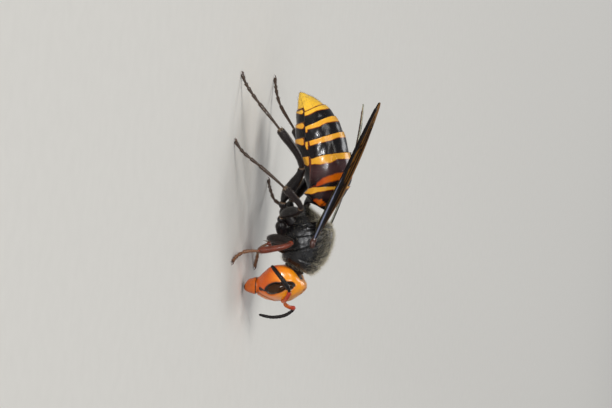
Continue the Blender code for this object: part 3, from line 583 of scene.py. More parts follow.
def jawSkin(side):
    first, last = jaw["rows"][0][0], jaw["rows"][-1][0]
    places = first + (last - first) * np.arange(jaw["steps"] + 1) / jaw["steps"]
    x, y, z, deepness, broad = [row[:, None] for row in rowsAt(jaw["rows"], places)]
    angle = roundAngles(jaw["sides"])
    inner = ramp(-0.3, -0.8, np.sin(angle))[None, :]
    nick = sum(deep * hump(places - at, half) for at, half, deep in jaw["teeth"])[:, None]
    seam = -0.07 * hump(places - jaw["seam"], 0.02)[:, None] + 0.04 * hump(places - 0.01, 0.02)[:, None]
    reach = broad - nick * inner
    across = side * (y + powerPart(np.sin(angle), 2.2)[None] * (reach + seam))
    grid = np.stack([x + powerPart(np.cos(angle), 2.2)[None] * (deepness + seam), across, z + 0 * across], -1)
    dark = np.maximum(inner * ramp(0.3, 0.55, places)[:, None], ramp(0.8, 0.98, places)[:, None])
    line = np.abs(places - jaw["seam"])[:, None] * 2.6 - 0.07
    return tubeSkin(grid, {"dark": dark, "line": line})


jawCuticle, tree, shader = newMaterial("polished_cuticle_jaw", {
    # thick hard chitin, worn smooth: orange with a tight shine, black at the biting edge
    "IOR": 1.56, "Roughness": 0.32, "Specular IOR Level": 0.3, "Coat Weight": 0.3, "Coat Roughness": 0.1})
dark = addNode(tree, "Attribute", {"attribute_name": "dark"}, output="Fac")
base = paint(tree, "CE6404", (pattern(tree, "TexNoise", 0.9, 4, (1, 1, 0.4)), "A44602"), (dark, "1C0C07"))
finishWith(tree, shader, paint(tree, "1A0C06", (spread(tree, "line", -0.03, 0.05), base)),
           (0.2, 0.06, "TexNoise", 0.35, 3, (1, 1, 0.3)), (0.15, 0.03, "TexVoronoi", 0.16, 0))
for side, label in ((1, "l"), (-1, "r")):
    addPiece("jaw_" + label, jawSkin(side), jawCuticle, ["mandible_" + label])
print("stage: jaws")


# Round limbs: the feelers here, the legs further down.

def curveThrough(points, startWay, endWay, count, pull=0.9):
    # Evenly spaced places on the same smooth curve as the CAD limbs follow.
    points = [np.array(point, float) for point in points]
    ways = [unit(startWay)]
    for k in range(1, len(points) - 1):
        ways.append(unit(unit(points[k + 1] - points[k]) + unit(points[k] - points[k - 1])))
    ways.append(unit(endWay))
    fine = []
    for k in range(len(points) - 1):
        length = np.linalg.norm(points[k + 1] - points[k])
        for t in np.arange(40) / 40:
            bend = (3 - 2 * t) * t * t
            fine.append(points[k] * (1 - bend) + points[k + 1] * bend
                        + ways[k] * (length * pull * t * (1 - t) ** 2)
                        + ways[k + 1] * (length * pull * t * t * (t - 1)))
    fine = np.array(fine + [points[-1]])
    run = np.concatenate([[0], np.cumsum(np.linalg.norm(np.diff(fine, axis=0), axis=1))])
    goals = np.linspace(0, run[-1], count + 1)
    return np.stack([np.interp(goals, run, fine[:, axis]) for axis in range(3)], -1), run[-1]


def sweep(path, radii, sides, squash=None):
    # Rings square to a path, turned as little as possible from one to the next.
    along = unit(np.gradient(path, axis=0))
    turn = unit(np.cross(along[0], [0.0, 0.0, 1.0]))
    angle = roundAngles(sides)
    rings = []
    for k, centre in enumerate(path):
        turn = unit(turn - along[k] * (turn @ along[k]))
        across = np.cross(along[k], turn)
        flat = 1.0 if squash is None else squash[k]
        ring = centre + radii[k] * (turn * np.cos(angle)[:, None] + across * (np.sin(angle) * flat)[:, None])
        rings.append(ring)
    return np.array(rings)


feeler = {
    # place, radius
    "scapeRadii": [(0, 0.2), (0.05, 0.27), (0.12, 0.2), (0.2, 0.3), (0.55, 0.35), (0.8, 0.37), (0.95, 0.33),
                   (1, 0.16)],
    "lashRadii": [(0, 0.2), (0.04, 0.27), (0.15, 0.31), (0.7, 0.31), (0.93, 0.26), (0.985, 0.19), (1, 0.09)],
    "joints": 11,
    "nick": 0.05,
    "pastBend": (0.02, 0.05),   # mm past the bend where the scape ends and the lash begins
    "scapeMesh": (90, 28),      # steps along, sides
    "lashMesh": (260, 24),
    "routes": {
        "r": {"stout": 1.14,
              "scape": [(1.6, -1.42, 7.3), (1.95, -2.1, 7.65), (1.6, -3.3, 8.35), (0.1, -4.8, 9.2)],
              "lash": [(0.1, -4.8, 9.2), (-1.3, -6.3, 8.7), (-3.0, -6.4, 7.2), (-4.2, -5.4, 5.9)]},
        "l": {"stout": 0.92,
              "scape": [(1.75, 1.42, 7.3), (2.55, 1.75, 7.45), (3.05, 2.6, 8.05), (3.3, 4.0, 8.65)],
              "lash": [(3.3, 4.0, 8.65), (4.6, 4.5, 7.1), (5.15, 4.7, 4.8), (4.9, 4.9, 2.3)]},
    },
}
scapeCuticle, tree, shader = newMaterial("polished_cuticle_scape", {
    # smooth thin-walled chitin: orange at the root, turning red brown to the bend
    "IOR": 1.56, "Roughness": 0.34, "Specular IOR Level": 0.35, "Coat Weight": 0.3, "Coat Roughness": 0.12})
scapeTip = spread(tree, "place", 0.25, 0.75)
scapeColour = paint(tree, "DE7408", (scapeTip, "B82E08"), (pattern(tree, "TexNoise", 0.6, 4), "8A2606"))
finishWith(tree, shader, scapeColour, (0.25, 0.04, "TexNoise", 0.2, 3))
lashCuticle, tree, shader = newMaterial("downy_cuticle_black", {
    # matt black segments under a nap of the finest hairs, which the bump stands for
    "IOR": 1.56, "Roughness": 0.4, "Specular IOR Level": 0.22})
ringDark = spread(tree, "ring", 0.02, 0.09)
lashColour = paint(tree, "0B0809", (pattern(tree, "TexNoise", 0.5, 3), "1C1314"))
finishWith(tree, shader, paint(tree, "060505", (ringDark, lashColour)), (0.5, 0.02, "TexNoise", 0.05, 2))
for label, route in feeler["routes"].items():
    scape, lash = [np.array(p, float) for p in route["scape"]], [np.array(p, float) for p in route["lash"]]
    bend = unit(unit(scape[-1] - scape[-2]) + unit(lash[1] - lash[0]))
    scapeEnd, lashStart = [scape[-1] + bend * past for past in feeler["pastBend"]]
    steps, sides = feeler["scapeMesh"]
    path, _ = curveThrough(scape[:-1] + [scapeEnd], scape[1] - scape[0], bend, steps)
    place = np.linspace(0, 1, steps + 1)
    radii = rowsAt(feeler["scapeRadii"], place)[0]
    addPiece("scape_shaft_" + label, tubeSkin(sweep(path, radii, sides), {"place": place[:, None]}),
             scapeCuticle, ["scape_" + label])
    steps, sides = feeler["lashMesh"]
    path, length = curveThrough([lashStart] + lash[1:], bend, lash[-1] - lash[-2], steps)
    place = np.linspace(0, 1, steps + 1)
    # distance in mm to the nearest ring between two segments
    cuts = np.linspace(0.055, 1, feeler["joints"] + 1)[:-1]
    ringGap = np.abs(place[:, None] - cuts[None]).min(1) * length
    radii = rowsAt(feeler["lashRadii"], place)[0] * route["stout"] - feeler["nick"] * hump(ringGap, 0.07)
    addPiece("flagellum_lash_" + label, tubeSkin(sweep(path, radii, sides), {"ring": ringGap[:, None]}),
             lashCuticle, ["flagellum_" + label])
print("stage: feelers")


# The thorax, and the soft joints on both sides of it.

thorax = {
    # place, centre x, centre z, half width, half height, backward tilt in degrees
    "rows": [(0.0, -4.15, 9.25, 2.4, 2.6, -24.5), (0.04, -4.45, 9.5, 3.2, 3.0, -24.0),
             (0.09, -5.0, 9.8, 3.8, 3.35, -22.0), (0.2, -6.3, 10.3, 4.2, 3.95, -12.0),
             (0.35, -7.9, 10.65, 4.4, 4.4, -4.0), (0.5, -9.6, 10.8, 4.4, 4.65, 1.0),
             (0.65, -11.2, 10.75, 4.1, 4.25, 8.0), (0.78, -12.15, 10.2, 3.5, 3.0, 15.0),
             (0.89, -13.25, 9.95, 2.7, 2.2, 15.0), (0.97, -14.2, 10.0, 1.4, 1.1, 17.0),
             (1.0, -14.8, 10.05, 0.65, 0.55, 22.0)],
    "power": 2.15,
    # grooves: place, half breadth, depth, lean
    "back": [(0.15, 0.014, 0.24, 0.0), (0.6, 0.012, 0.3, 0.0), (0.7, 0.012, 0.24, 0.0),
             (0.77, 0.014, 0.3, 0.0)],
    "side": [(0.3, 0.014, 0.25, 0.16), (0.68, 0.014, 0.26, -0.08), (0.5, 0.01, 0.12, 0.05)],
    # lines along the back: how far out, depth, first and last place; the last two part its rear humps
    "lines": [(0.0, 0.1, 0.17, 0.58), (0.42, 0.1, 0.2, 0.58), (0.0, 0.2, 0.61, 0.7), (0.0, 0.3, 0.78, 0.96)],
    "lineReach": 0.035,
    "sides": 240,
    "steps": 230,
}


def bodyRing(row, angle, power, dip):
    # Rings across the body: half width along Y, half height in a plane leaning back by the tilt.
    centreX, centreZ, halfWidth, halfHeight, lean = [part[..., None] for part in row]
    lean = np.radians(lean)
    across = powerPart(np.cos(angle), power) * (halfWidth - dip)
    high = powerPart(np.sin(angle), power) * (halfHeight - dip)
    return np.stack([centreX - np.sin(lean) * high, across + 0 * high, centreZ + np.cos(lean) * high], -1)


def thoraxSkin():
    place = np.linspace(0, 1, thorax["steps"] + 1)
    angle = roundAngles(thorax["sides"])
    high, wide = np.sin(angle)[None], np.cos(angle)[None]
    at = place[:, None]
    dip = 0 * at * high
    groove = dip + 9.0
    for rows, weight in ((thorax["back"], np.maximum(high, 0) ** 0.5), (thorax["side"], np.abs(wide))):
        for middle, half, depth, lean in rows:
            away = at - middle - lean * high
            dip = dip + weight * depth * hump(away, half)
            groove = np.minimum(groove, np.abs(away) * 11 - 0.1 + 2 * (1 - np.minimum(weight * 2, 1)))
    onBack = np.maximum(high, 0)
    for across, depth, first, last in thorax["lines"]:
        line = np.abs(np.abs(wide) - across)
        span = ramp(first - 0.02, first + 0.02, at) * ramp(last + 0.02, last - 0.02, at)
        dip = dip + depth * hump(line, thorax["lineReach"]) * span * onBack
    grid = bodyRing(rowsAt(thorax["rows"], place), angle[None, :], thorax["power"], dip)
    out = gridNormals(grid)
    return grid + out * (0.03 * ripple(grid, 1.2, 5))[..., None], out, {"groove": groove}


cuticleBlack, tree, shader = newMaterial("pitted_cuticle_black", {
    # near black chitin with fine pits and a bluish bloom where the light grazes it
    "IOR": 1.56, "Specular IOR Level": 0.3, "Coat Weight": 0.2, "Coat Roughness": 0.14,
    "Coat Tint": hexColour("D8E0F4"), "Sheen Weight": 0.02, "Sheen Roughness": 0.35,
    "Sheen Tint": hexColour("9AA6BC")})
black = paint(tree, "040405", (pattern(tree, "TexNoise", 1.4, 4), "0E0B0C"))
rough = pattern(tree, "TexNoise", 0.7, 4)
tree.links.new(addNode(tree, "MapRange", None, {"Value": rough, "To Min": 0.18, "To Max": 0.4}),
               shader.inputs["Roughness"])
# painted shade: the grooves are painted a little darker than the black around them
finishWith(tree, shader, paint(tree, "050405", (spread(tree, "groove", -0.05, 0.2), black)),
           (0.3, 0.14, "TexNoise", 0.8, 3), (0.4, 0.045, "TexVoronoi", 0.13, 0))
thoraxGrid, thoraxOut, thoraxFields = thoraxSkin()
addPiece("thorax_shell", tubeSkin(thoraxGrid, thoraxFields), cuticleBlack, ["thorax"])

# the soft neck and the thin waist between the big parts; their wrinkles run through an angle in radians
softJoints = {
    "neck": {"ends": [(-2.6, 0, 8.3), (-4.6, 0, 9.3)], "radius": 1.75, "wrinkle": 0.12, "wrinkleRun": 22,
             "rings": 30, "sides": 60, "slot": "thorax_cuticle"},
    "waist": {"ends": [(-14.3, 0, 10.02), (-15.5, 0, 10.55)], "radius": 0.52, "wrinkle": 0.04, "wrinkleRun": 15,
              "rings": 30, "sides": 40, "slot": "gaster_cuticle"},
}
softBlack, tree, shader = newMaterial("joint_membrane_dark", {
    # folded unhardened chitin: dark, soft and only faintly shiny
    "IOR": 1.45, "Roughness": 0.45, "Coat Weight": 0.1})
finishWith(tree, shader, paint(tree, "0E0908", (pattern(tree, "TexNoise", 0.4, 4), "2C1A12")),
           (0.5, 0.1, "TexNoise", 0.25, 3))
for name, joint in softJoints.items():
    radii = joint["radius"] + joint["wrinkle"] * np.sin(np.linspace(0, joint["wrinkleRun"], joint["rings"]))
    tube = sweep(np.linspace(*joint["ends"], joint["rings"]), radii, joint["sides"])
    addPiece(name, tubeSkin(tube), softBlack)
print("stage: thorax")


# The banded gaster.

gaster = {
    # place, one for each plate, then the same as in the thorax
    "rows": [(0.0, -15.12, 10.15, 0.5, 0.5, 26.0), (0.12, -15.5, 10.75, 0.85, 0.9, 0.0),
             (0.28, -15.4, 12.2, 2.5, 2.25, -32.0), (0.46, -15.9, 12.57, 3.5, 2.89, -22.0),
             (0.66, -16.85, 12.96, 4.1, 3.41, -6.0), (1.0, -18.6, 13.93, 4.65, 4.0, 12.0),
             (1.5, -21.4, 13.55, 4.95, 4.4, 11.0), (2.0, -24.1, 12.62, 4.95, 4.62, 9.5),
             (3.0, -27.4, 11.65, 4.55, 4.35, 13.0), (4.0, -30.0, 10.8, 3.9, 3.65, 16.0),
             (5.0, -32.1, 9.8, 2.95, 2.62, 17.0), (5.6, -33.6, 8.75, 1.7, 1.35, 22.0),
             (6.0, -34.7, 7.72, 0.2, 0.16, 30.0)],
    "power": 2.1,
    "lengths": [5.0, 5.6, 3.4, 2.8, 2.3, 2.9],     # of each plate along the back, in mm
    "radius": 4.4,
    "stepIn": 0.15,
    "bellyTuck": 0.13,
    "perPlate": 36,
    "sides": 300,
    # Heights on a ring go from -1 under the belly to 1 on the back.
    # by height: how far each plate's front edge, and the last one's rear edge, is swung forward, in plates
    "swings": [[(-1, 0), (1, 0)],
               [(-1, 0.05), (-0.5, -0.02), (-0.2, 0.01), (0.13, 0.03), (0.43, 0.05), (1, 0.06)],
               [(-1, 0.1), (-0.45, 0.16), (-0.21, 0.13), (0.08, 0.065), (0.54, 0.035), (1, 0.01)],
               [(-1, 0.4), (-0.45, 0.38), (-0.23, 0.335), (0.13, 0.24), (0.57, 0.12), (1, 0.01)],
               [(-1, 0.44), (-0.45, 0.43), (-0.31, 0.4), (0.03, 0.3), (0.48, 0.11), (0.87, 0), (1, 0)],
               [(-1, 0.37), (-0.45, 0.36), (-0.31, 0.33), (0.15, 0.18), (0.65, 0.05), (1, 0)],
               [(-1, 0), (1, 0)]],
    "bellySwing": 0.05,
    # by height: where on its plate each yellow band starts
    "bandStarts": [[(-0.5, 0.66), (-0.33, 0.69), (-0.13, 0.8), (0.16, 0.86), (0.43, 0.91), (1, 0.93)],
                   [(-0.26, 0.81), (-0.03, 0.73), (0.36, 0.73), (0.61, 0.81), (0.95, 0.785)],
                   [(-0.21, 0.65), (0.13, 0.64), (0.54, 0.65), (0.78, 0.72), (0.96, 0.68)],
                   [(-0.31, 0.76), (-0.1, 0.71), (0.21, 0.64), (0.57, 0.685), (0.9, 0.61)],
                   [(-0.36, 0.72), (0, 0.68), (0.41, 0.72), (0.74, 0.64)], [(-1, 0.03), (1, 0.03)]],
    # by height: where the orange zone over the front of the second plate starts and ends
    "warmStart": [(-0.3, 0.02), (0.08, 0.1), (0.52, 0.15), (1, 0.16)],
    "warmEnd": [(-0.38, 0.06), (-0.33, 0.19), (-0.05, 0.31), (0.23, 0.36), (0.65, 0.4), (1, 0.43)],
    # height of the line where back and belly plates meet, by place along the gaster
    "bellyLine": [(0.5, -0.85), (1.1, -0.76), (1.27, -0.66), (1.545, -0.5), (1.86, -0.34), (2.05, -0.4),
                  (2.4, -0.46), (2.58, -0.43), (3, -0.38), (3.65, -0.37), (4.71, -0.3), (5.4, -0.3), (6, -0.4)],
    "bandGap": (-0.275, 0.03),      # the break in the third plate's band: height, half breadth
    # the marks below the third and fourth plates' bands: first and last place, lowest and highest
    "sideMarks": [(2.46, 2.8, -0.47, -0.34), (3.58, 3.85, -0.38, -0.26)],
    "markCorner": 0.28,             # mm that their corners are rounded by
    # the yellow blobs at the corners of the belly plates: start and end on the plate
    "blobs": {1: (0.7, 1.02), 2: (0.5, 0.97), 3: (0.55, 0.95), 4: (0.65, 0.97)},
    "blobCorner": 0.55,
    "spot": (0.475, 0.15, 0.11, 0.38),  # orange spot of the first plate: place, height, reach of each
}


def gasterSkin():
    angle = roundAngles(gaster["sides"])
    high, wide = np.sin(angle), np.cos(angle)
    steps = np.arange(gaster["perPlate"] + 1) / gaster["perPlate"]
    plates = np.repeat(np.arange(6), len(steps))[:, None]
    parts = np.tile(steps, 6)[:, None]
    drops = np.where(plates == 0, 0.0, gaster["stepIn"] * (1 - ramp(0, 0.85, parts)))
    place = plates + parts
    lengths = np.array(gaster["lengths"])[plates]

    swings = np.array([straightAt(rows, high) for rows in gaster["swings"]])
    swing = swings[plates[:, 0]] * (1 - parts) + swings[plates[:, 0] + 1] * parts
    line = straightAt(gaster["bellyLine"], np.clip(place - swing, 0, 6))
    belly = ramp(0.025, -0.025, high[None] - line)
    swing = swing * (1 - belly) + gaster["bellySwing"] * ramp(0.3, 1.0, place) * ramp(6.0, 5.2, place) * belly
    moved = np.clip(place - swing, 0, 6)
    tuckFade = ramp(0.4, 0.7, place) * ramp(5.8, 5.3, place)
    lip = 0.045 * hump(parts - 0.985, 0.02) * (plates < 5)
    last = ramp(5.5, 6.0, place)
    dip = drops * (1 - last) + gaster["bellyTuck"] * belly * tuckFade - lip
    centreX, centreZ, halfWidth, halfHeight, lean = rowsAt(gaster["rows"], moved)
    lean = np.radians(lean)
    across = powerPart(wide, gaster["power"])[None] * (halfWidth - dip)
    up = powerPart(high, gaster["power"])[None] * (halfHeight - dip)
    grid = np.stack([centreX - np.sin(lean) * up, across, centreZ + np.cos(lean) * up], -1)
    out = gridNormals(grid)
    grid = grid + out * (0.025 * ripple(grid, 2.2, 9))[..., None]

    # markings as distances in mm, above zero inside them
    starts = np.array([straightAt(rows, high) for rows in gaster["bandStarts"]])[plates[:, 0]]
    yellow = (parts - starts) * lengths
    gap = gaster["radius"] * (high[None] - line)
    # at the side the third plate's band breaks off, and its end stands alone; the fourth's is hooked
    gapHeight, gapHalf = gaster["bandGap"]
    broken = (np.abs(high - gapHeight) - gapHalf)[None] * gaster["radius"]
    yellow = np.where(plates == 2, np.minimum(yellow, broken), yellow)
    corner = gaster["markCorner"]
    for first, end, low, top in gaster["sideMarks"]:
        along = np.minimum(place - first, end - place) * 3.2
        across = np.minimum(high - low, top - high)[None] * gaster["radius"]
        box = corner - np.hypot(np.maximum(corner - along, 0), np.maximum(corner - across, 0))
        yellow = np.maximum(yellow, box)
    yellow = np.minimum(yellow, gap - 0.12 * (plates > 0))
    # below the line each belly plate has a pale rounded blob at its corner
    corner, below = gaster["blobCorner"], -gap - 0.16
    for plate, (start, end) in gaster["blobs"].items():
        start = start + 0.22 * ramp(-0.5, -0.95, high)[None]
        along = np.minimum(parts - start, end - parts) * lengths
        rounded = corner - np.hypot(np.maximum(corner - along, 0), np.maximum(corner - below, 0))
        blob = np.minimum(np.minimum(along, below), rounded)
        yellow = np.where((plates == plate) & (gap < 0), blob, yellow)
    yellow = np.where((gap < 0) & (plates == 5), np.minimum((parts - 0.1) * lengths, -gap - 0.07), yellow)
    yellow = np.where((gap < 0) & (plates == 0), -1.0, yellow)
    warmStart, warmEnd = straightAt(gaster["warmStart"], high), straightAt(gaster["warmEnd"], high)
    warm = np.minimum(parts - warmStart, warmEnd - parts) * lengths
    warm = np.where(plates == 1, np.minimum(warm, gap - 0.3), -3.0)
    spotPlace, spotHeight, reachAlong, reachUp = gaster["spot"]
    spot = (1 - np.hypot((place - spotPlace) / reachAlong, (high[None] - spotHeight) / reachUp)) * 0.6
    spot = spot + 0.14 * ripple(grid, 0.9, 21)
    warm = np.maximum(warm, np.where(plates == 0, spot, -3.0))
    margin = np.abs(gap) - 0.05 + 2.0 * ramp(0.25, 0.6, np.abs(place - 1.5))
    rear = (1 - parts) * lengths
    plum = hump(place - 1.55, 0.33) * ramp(-0.2, 0.1, gap) + 0.6 * hump(place - 0.75, 0.12)
    # the orange zones are painted deeper red towards the belly: painted shade on the side away from the light
    fields = {"yellow": yellow, "orange": warm, "margin": margin, "rear": rear, "plate": place, "plum": plum,
              "bellyShade": ramp(0.3, -0.3, high)[None]}
    return grid, out, {label: values + 0 * yellow for label, values in fields.items()}


bandedCuticle, tree, shader = newMaterial("waxed_cuticle_banded", {
    # thick smooth chitin plates, black brown and yellow, with a bluish bloom on the dark parts
    "IOR": 1.56, "Roughness": 0.24, "Specular IOR Level": 0.24, "Coat Weight": 0.1, "Coat Roughness": 0.08,
    "Coat Tint": hexColour("DCE4F6"), "Sheen Weight": 0.03, "Sheen Roughness": 0.3,
    "Sheen Tint": hexColour("A8B4C8")})
plum = addNode(tree, "Attribute", {"attribute_name": "plum"}, output="Fac")
plumColour = paint(tree, "3E2428", (pattern(tree, "TexNoise", 0.9, 5, (3, 1, 1)), "4C3836"))
darkBrown = paint(tree, "060507", (pattern(tree, "TexNoise", 1.8, 5), "151012"), (plum, plumColour))
# painted shade: the orange turns deep red towards the belly
bellyShadeMask = addNode(tree, "Attribute", {"attribute_name": "bellyShade"}, output="Fac")
warm = paint(tree, "E0740C", (bellyShadeMask, "B83A06"), (pattern(tree, "TexNoise", 1.2, 4), "B04406"))
plate = addNode(tree, "Attribute", {"attribute_name": "plate"}, output="Fac")
tail = addNode(tree, "MapRange", None, {"Value": plate, "From Min": 3.5, "From Max": 6.0})
bandYellow = paint(tree, "EE9A22", (pattern(tree, "TexNoise", 1.0, 4), "E2AE38"), (tail, "F6C83C"))
colour = paint(tree, darkBrown, (spread(tree, "orange", -0.1, 0.3, 0.2, 1.111), warm))
colour = paint(tree, "7A3A24", (spread(tree, "margin", -0.02, 0.1), colour))
# a rust-coloured fringe, then the yellow itself
colour = paint(tree, colour, (spread(tree, "yellow", -0.16, 0.0, 0.1, 0.667), "8A3A08"))
colour = paint(tree, colour, (spread(tree, "yellow", -0.04, 0.12, 0.1, 0.667), bandYellow))
colour = paint(tree, "8A5A20", (spread(tree, "rear", 0.03, 0.1), colour))
finishWith(tree, shader, colour, (0.15, 0.1, "TexNoise", 0.8, 3), (0.3, 0.03, "TexVoronoi", 0.2, 0))
gasterGrid, gasterOut, gasterFields = gasterSkin()
addPiece("gaster_shell", tubeSkin(gasterGrid, gasterFields), bandedCuticle,
         ["gaster_%d" % k for k in range(1, 7)])
print("stage: gaster")


# The folded wings and the lobes over their roots.

wings = {
    "root": (-9.5, 5.0, 12.9),
    "length": 26.9,
    "drop": 0.85,           # of the hind wing below the forewing
    "thick": 0.14,
    "foreMesh": (260, 90),  # steps along, steps across
    "hindMesh": (160, 70),
    "pleat": (0.07, 17),    # height of the lengthwise pleats, radians that they run through
    # degrees that each wing is swung out, raised and rolled, bow in mm, breadth of its hind wing
    "sides": {"r": {"side": -1, "spread": 18.4, "rise": 22.4, "roll": 17.0, "bow": 0.0, "lobe": 1.0},
              "l": {"side": 1, "spread": 26.5, "rise": 7.1, "roll": 11.0, "bow": 1.15, "lobe": 0.6}},
    # place along, leading edge, trailing edge
    "fore": [(0.0, 0.0, 1.0), (0.1, -0.1, 2.0), (0.25, -0.15, 3.2), (0.45, -0.1, 3.85), (0.65, 0.0, 3.75),
             (0.8, 0.25, 3.15), (0.9, 0.5, 2.65), (0.97, 0.8, 2.1), (1.0, 1.0, 1.65)],
    "hind": [(0.06, 0.7, 1.6), (0.14, 0.8, 3.8), (0.26, 1.0, 5.5), (0.38, 1.3, 5.4), (0.48, 1.8, 4.7),
             (0.56, 2.3, 4.0), (0.6, 2.7, 3.5)],
    # breadth in mm of the dark part along the leading edge, by place
    "band": [(0, 0.9), (0.15, 1.5), (0.3, 1.8), (0.45, 1.4), (0.6, 0.75), (0.75, 0.4), (1, 0.2)],
    # veins as lines of (place, part of the chord), each with its half width in mm and its height
    "foreVeins": [
        ([(0.0, 0.3), (0.1, 0.12), (0.4, 0.05), (0.75, 0.05), (0.95, 0.12)], 0.24, 0.2),
        ([(0.0, 0.5), (0.1, 0.28), (0.35, 0.17), (0.6, 0.15), (0.72, 0.1)], 0.16, 0.16),
        ([(0.0, 0.7), (0.12, 0.5), (0.3, 0.48), (0.5, 0.46), (0.7, 0.48), (0.9, 0.55)], 0.09, 0.1),
        ([(0.05, 0.8), (0.3, 0.74), (0.5, 0.72), (0.7, 0.74), (0.84, 0.8)], 0.08, 0.09),
        ([(0.3, 0.17), (0.36, 0.3), (0.42, 0.47)], 0.07, 0.08),
        ([(0.5, 0.16), (0.53, 0.32), (0.58, 0.47)], 0.07, 0.08),
        ([(0.62, 0.14), (0.66, 0.3), (0.7, 0.48)], 0.07, 0.08),
        ([(0.6, 0.15), (0.68, 0.28), (0.8, 0.3), (0.92, 0.2), (0.96, 0.14)], 0.08, 0.09),
        ([(0.36, 0.48), (0.38, 0.6), (0.42, 0.73)], 0.06, 0.07),
        ([(0.62, 0.47), (0.64, 0.6), (0.66, 0.73)], 0.06, 0.07),
    ],
    "hindVeins": [
        ([(0.06, 0.2), (0.2, 0.1), (0.4, 0.1), (0.58, 0.15)], 0.12, 0.1),
        ([(0.08, 0.5), (0.25, 0.45), (0.45, 0.45), (0.58, 0.5)], 0.08, 0.08),
        ([(0.3, 0.1), (0.34, 0.28), (0.36, 0.45)], 0.06, 0.06),
        ([(0.12, 0.7), (0.25, 0.72), (0.4, 0.78)], 0.06, 0.06),
    ],
}


def wingAxes(wing):
    spreadOut, riseUp, roll = (math.radians(wing[key]) for key in ("spread", "rise", "roll"))
    side, level = wing["side"], math.cos(math.radians(wing["rise"]))
    span = np.array([-level * math.cos(spreadOut), side * level * math.sin(spreadOut), math.sin(riseUp)])
    chord = np.array([0, -side * math.cos(roll), math.sin(roll)])
    chord = unit(chord - span * (chord @ span))
    lift = unit(np.cross(span, chord))
    root = np.array([wings["root"][0], side * wings["root"][1], wings["root"][2]])
    return root, span, chord, lift if lift[2] > 0 else -lift


def wingSkin(wing, rows, veins, steps, across, drop):
    root, span, chord, lift = wingAxes(wing)
    first, last = rows[0][0], rows[-1][0]
    even = np.linspace(0, 1, steps + 1)
    place = first + (last - first) * (1 - (1 - even) ** 1.35)
    lead, trail = rowsAt(rows, place)
    if drop:
        trail = lead + (trail - lead) * wing["lobe"]
    chordPart = np.linspace(0, 1, across + 1)
    along = (wings["length"] * place)[:, None] + 0 * chordPart
    over = lead[:, None] + (trail - lead)[:, None] * chordPart
    flat = np.stack([along, over], -1)
    vein = np.full(flat.shape[:2], 9.0)
    height = np.zeros(flat.shape[:2])
    for line, halfWidth, stand in veins:
        lineLead, lineTrail = rowsAt(rows, [p for p, _ in line])
        points = np.array([[wings["length"] * at, ahead + (behind - ahead) * part]
                           for (at, part), ahead, behind in zip(line, lineLead, lineTrail)])
        fine = np.stack([np.interp(np.linspace(0, len(points) - 1, 24), np.arange(len(points)), points[:, axis])
                         for axis in (0, 1)], -1)
        best, _ = nearestOnPath(flat, fine, np.zeros(len(fine)))
        vein = np.minimum(vein, best - halfWidth)
        height = np.maximum(height, stand * np.sqrt(np.clip(1 - (best / (halfWidth * 1.25)) ** 2, 0, 1)))
    bow = wing["bow"] * 4 * place * (1 - place)
    # lengthwise pleats, which grow towards the trailing edge
    pleatHeight, pleatRun = wings["pleat"]
    pleat = pleatHeight * np.sin(chordPart * pleatRun)[None] * ramp(0.05, 0.3, place)[:, None]
    pleat = pleat * ramp(0.15, 0.5, chordPart)[None]
    middle = bow[:, None] - drop + pleat
    edgeFade = np.minimum(ramp(0, 0.03, chordPart), ramp(1, 0.97, chordPart))[None]
    thick = wings["thick"] * (0.35 + 0.65 * edgeFade)
    sheet = root + span * along[..., None] + chord * over[..., None]
    top = sheet + lift * (middle + thick / 2 + height)[..., None]
    low = sheet + lift * (middle - thick / 2 - 0.5 * height)[..., None]
    # a ring runs over the top from leading to trailing edge and back underneath
    ring = np.concatenate([top, low[:, ::-1]], axis=1)
    fromLead = over - lead[:, None]
    bandWidth = straightAt(wings["band"], place)
    # a painted highlight: a pale line along the fold, over the inner third of the wing
    foldHighlight = np.abs(fromLead - bandWidth[:, None]) - 0.05 + 0.12 * ramp(0.1, 0.4, place)[:, None]
    # a painted highlight on the inner part of the near wing's leading edge, and all round the far wing
    if wing["side"] < 0:
        paintedHighlight = fromLead - 0.05 + 0.12 * ramp(0.2, 0.6, place)[:, None]
    else:
        paintedHighlight = np.minimum(fromLead - 0.2, trail[:, None] - over - 0.3)
    fields = {"vein": vein, "lead": fromLead, "band": fromLead - bandWidth[:, None], "span": along,
              "foldHighlight": foldHighlight, "paintedHighlight": paintedHighlight}
    # the painted highlight of the near wing keeps to the upper side of its thick front vein
    under = {"paintedHighlight": 0.1 if wing["side"] < 0 else 0.0}
    return tubeSkin(ring, {label: np.concatenate([values, values[:, ::-1] + under.get(label, 0.0)], axis=1)
                           for label, values in fields.items()})


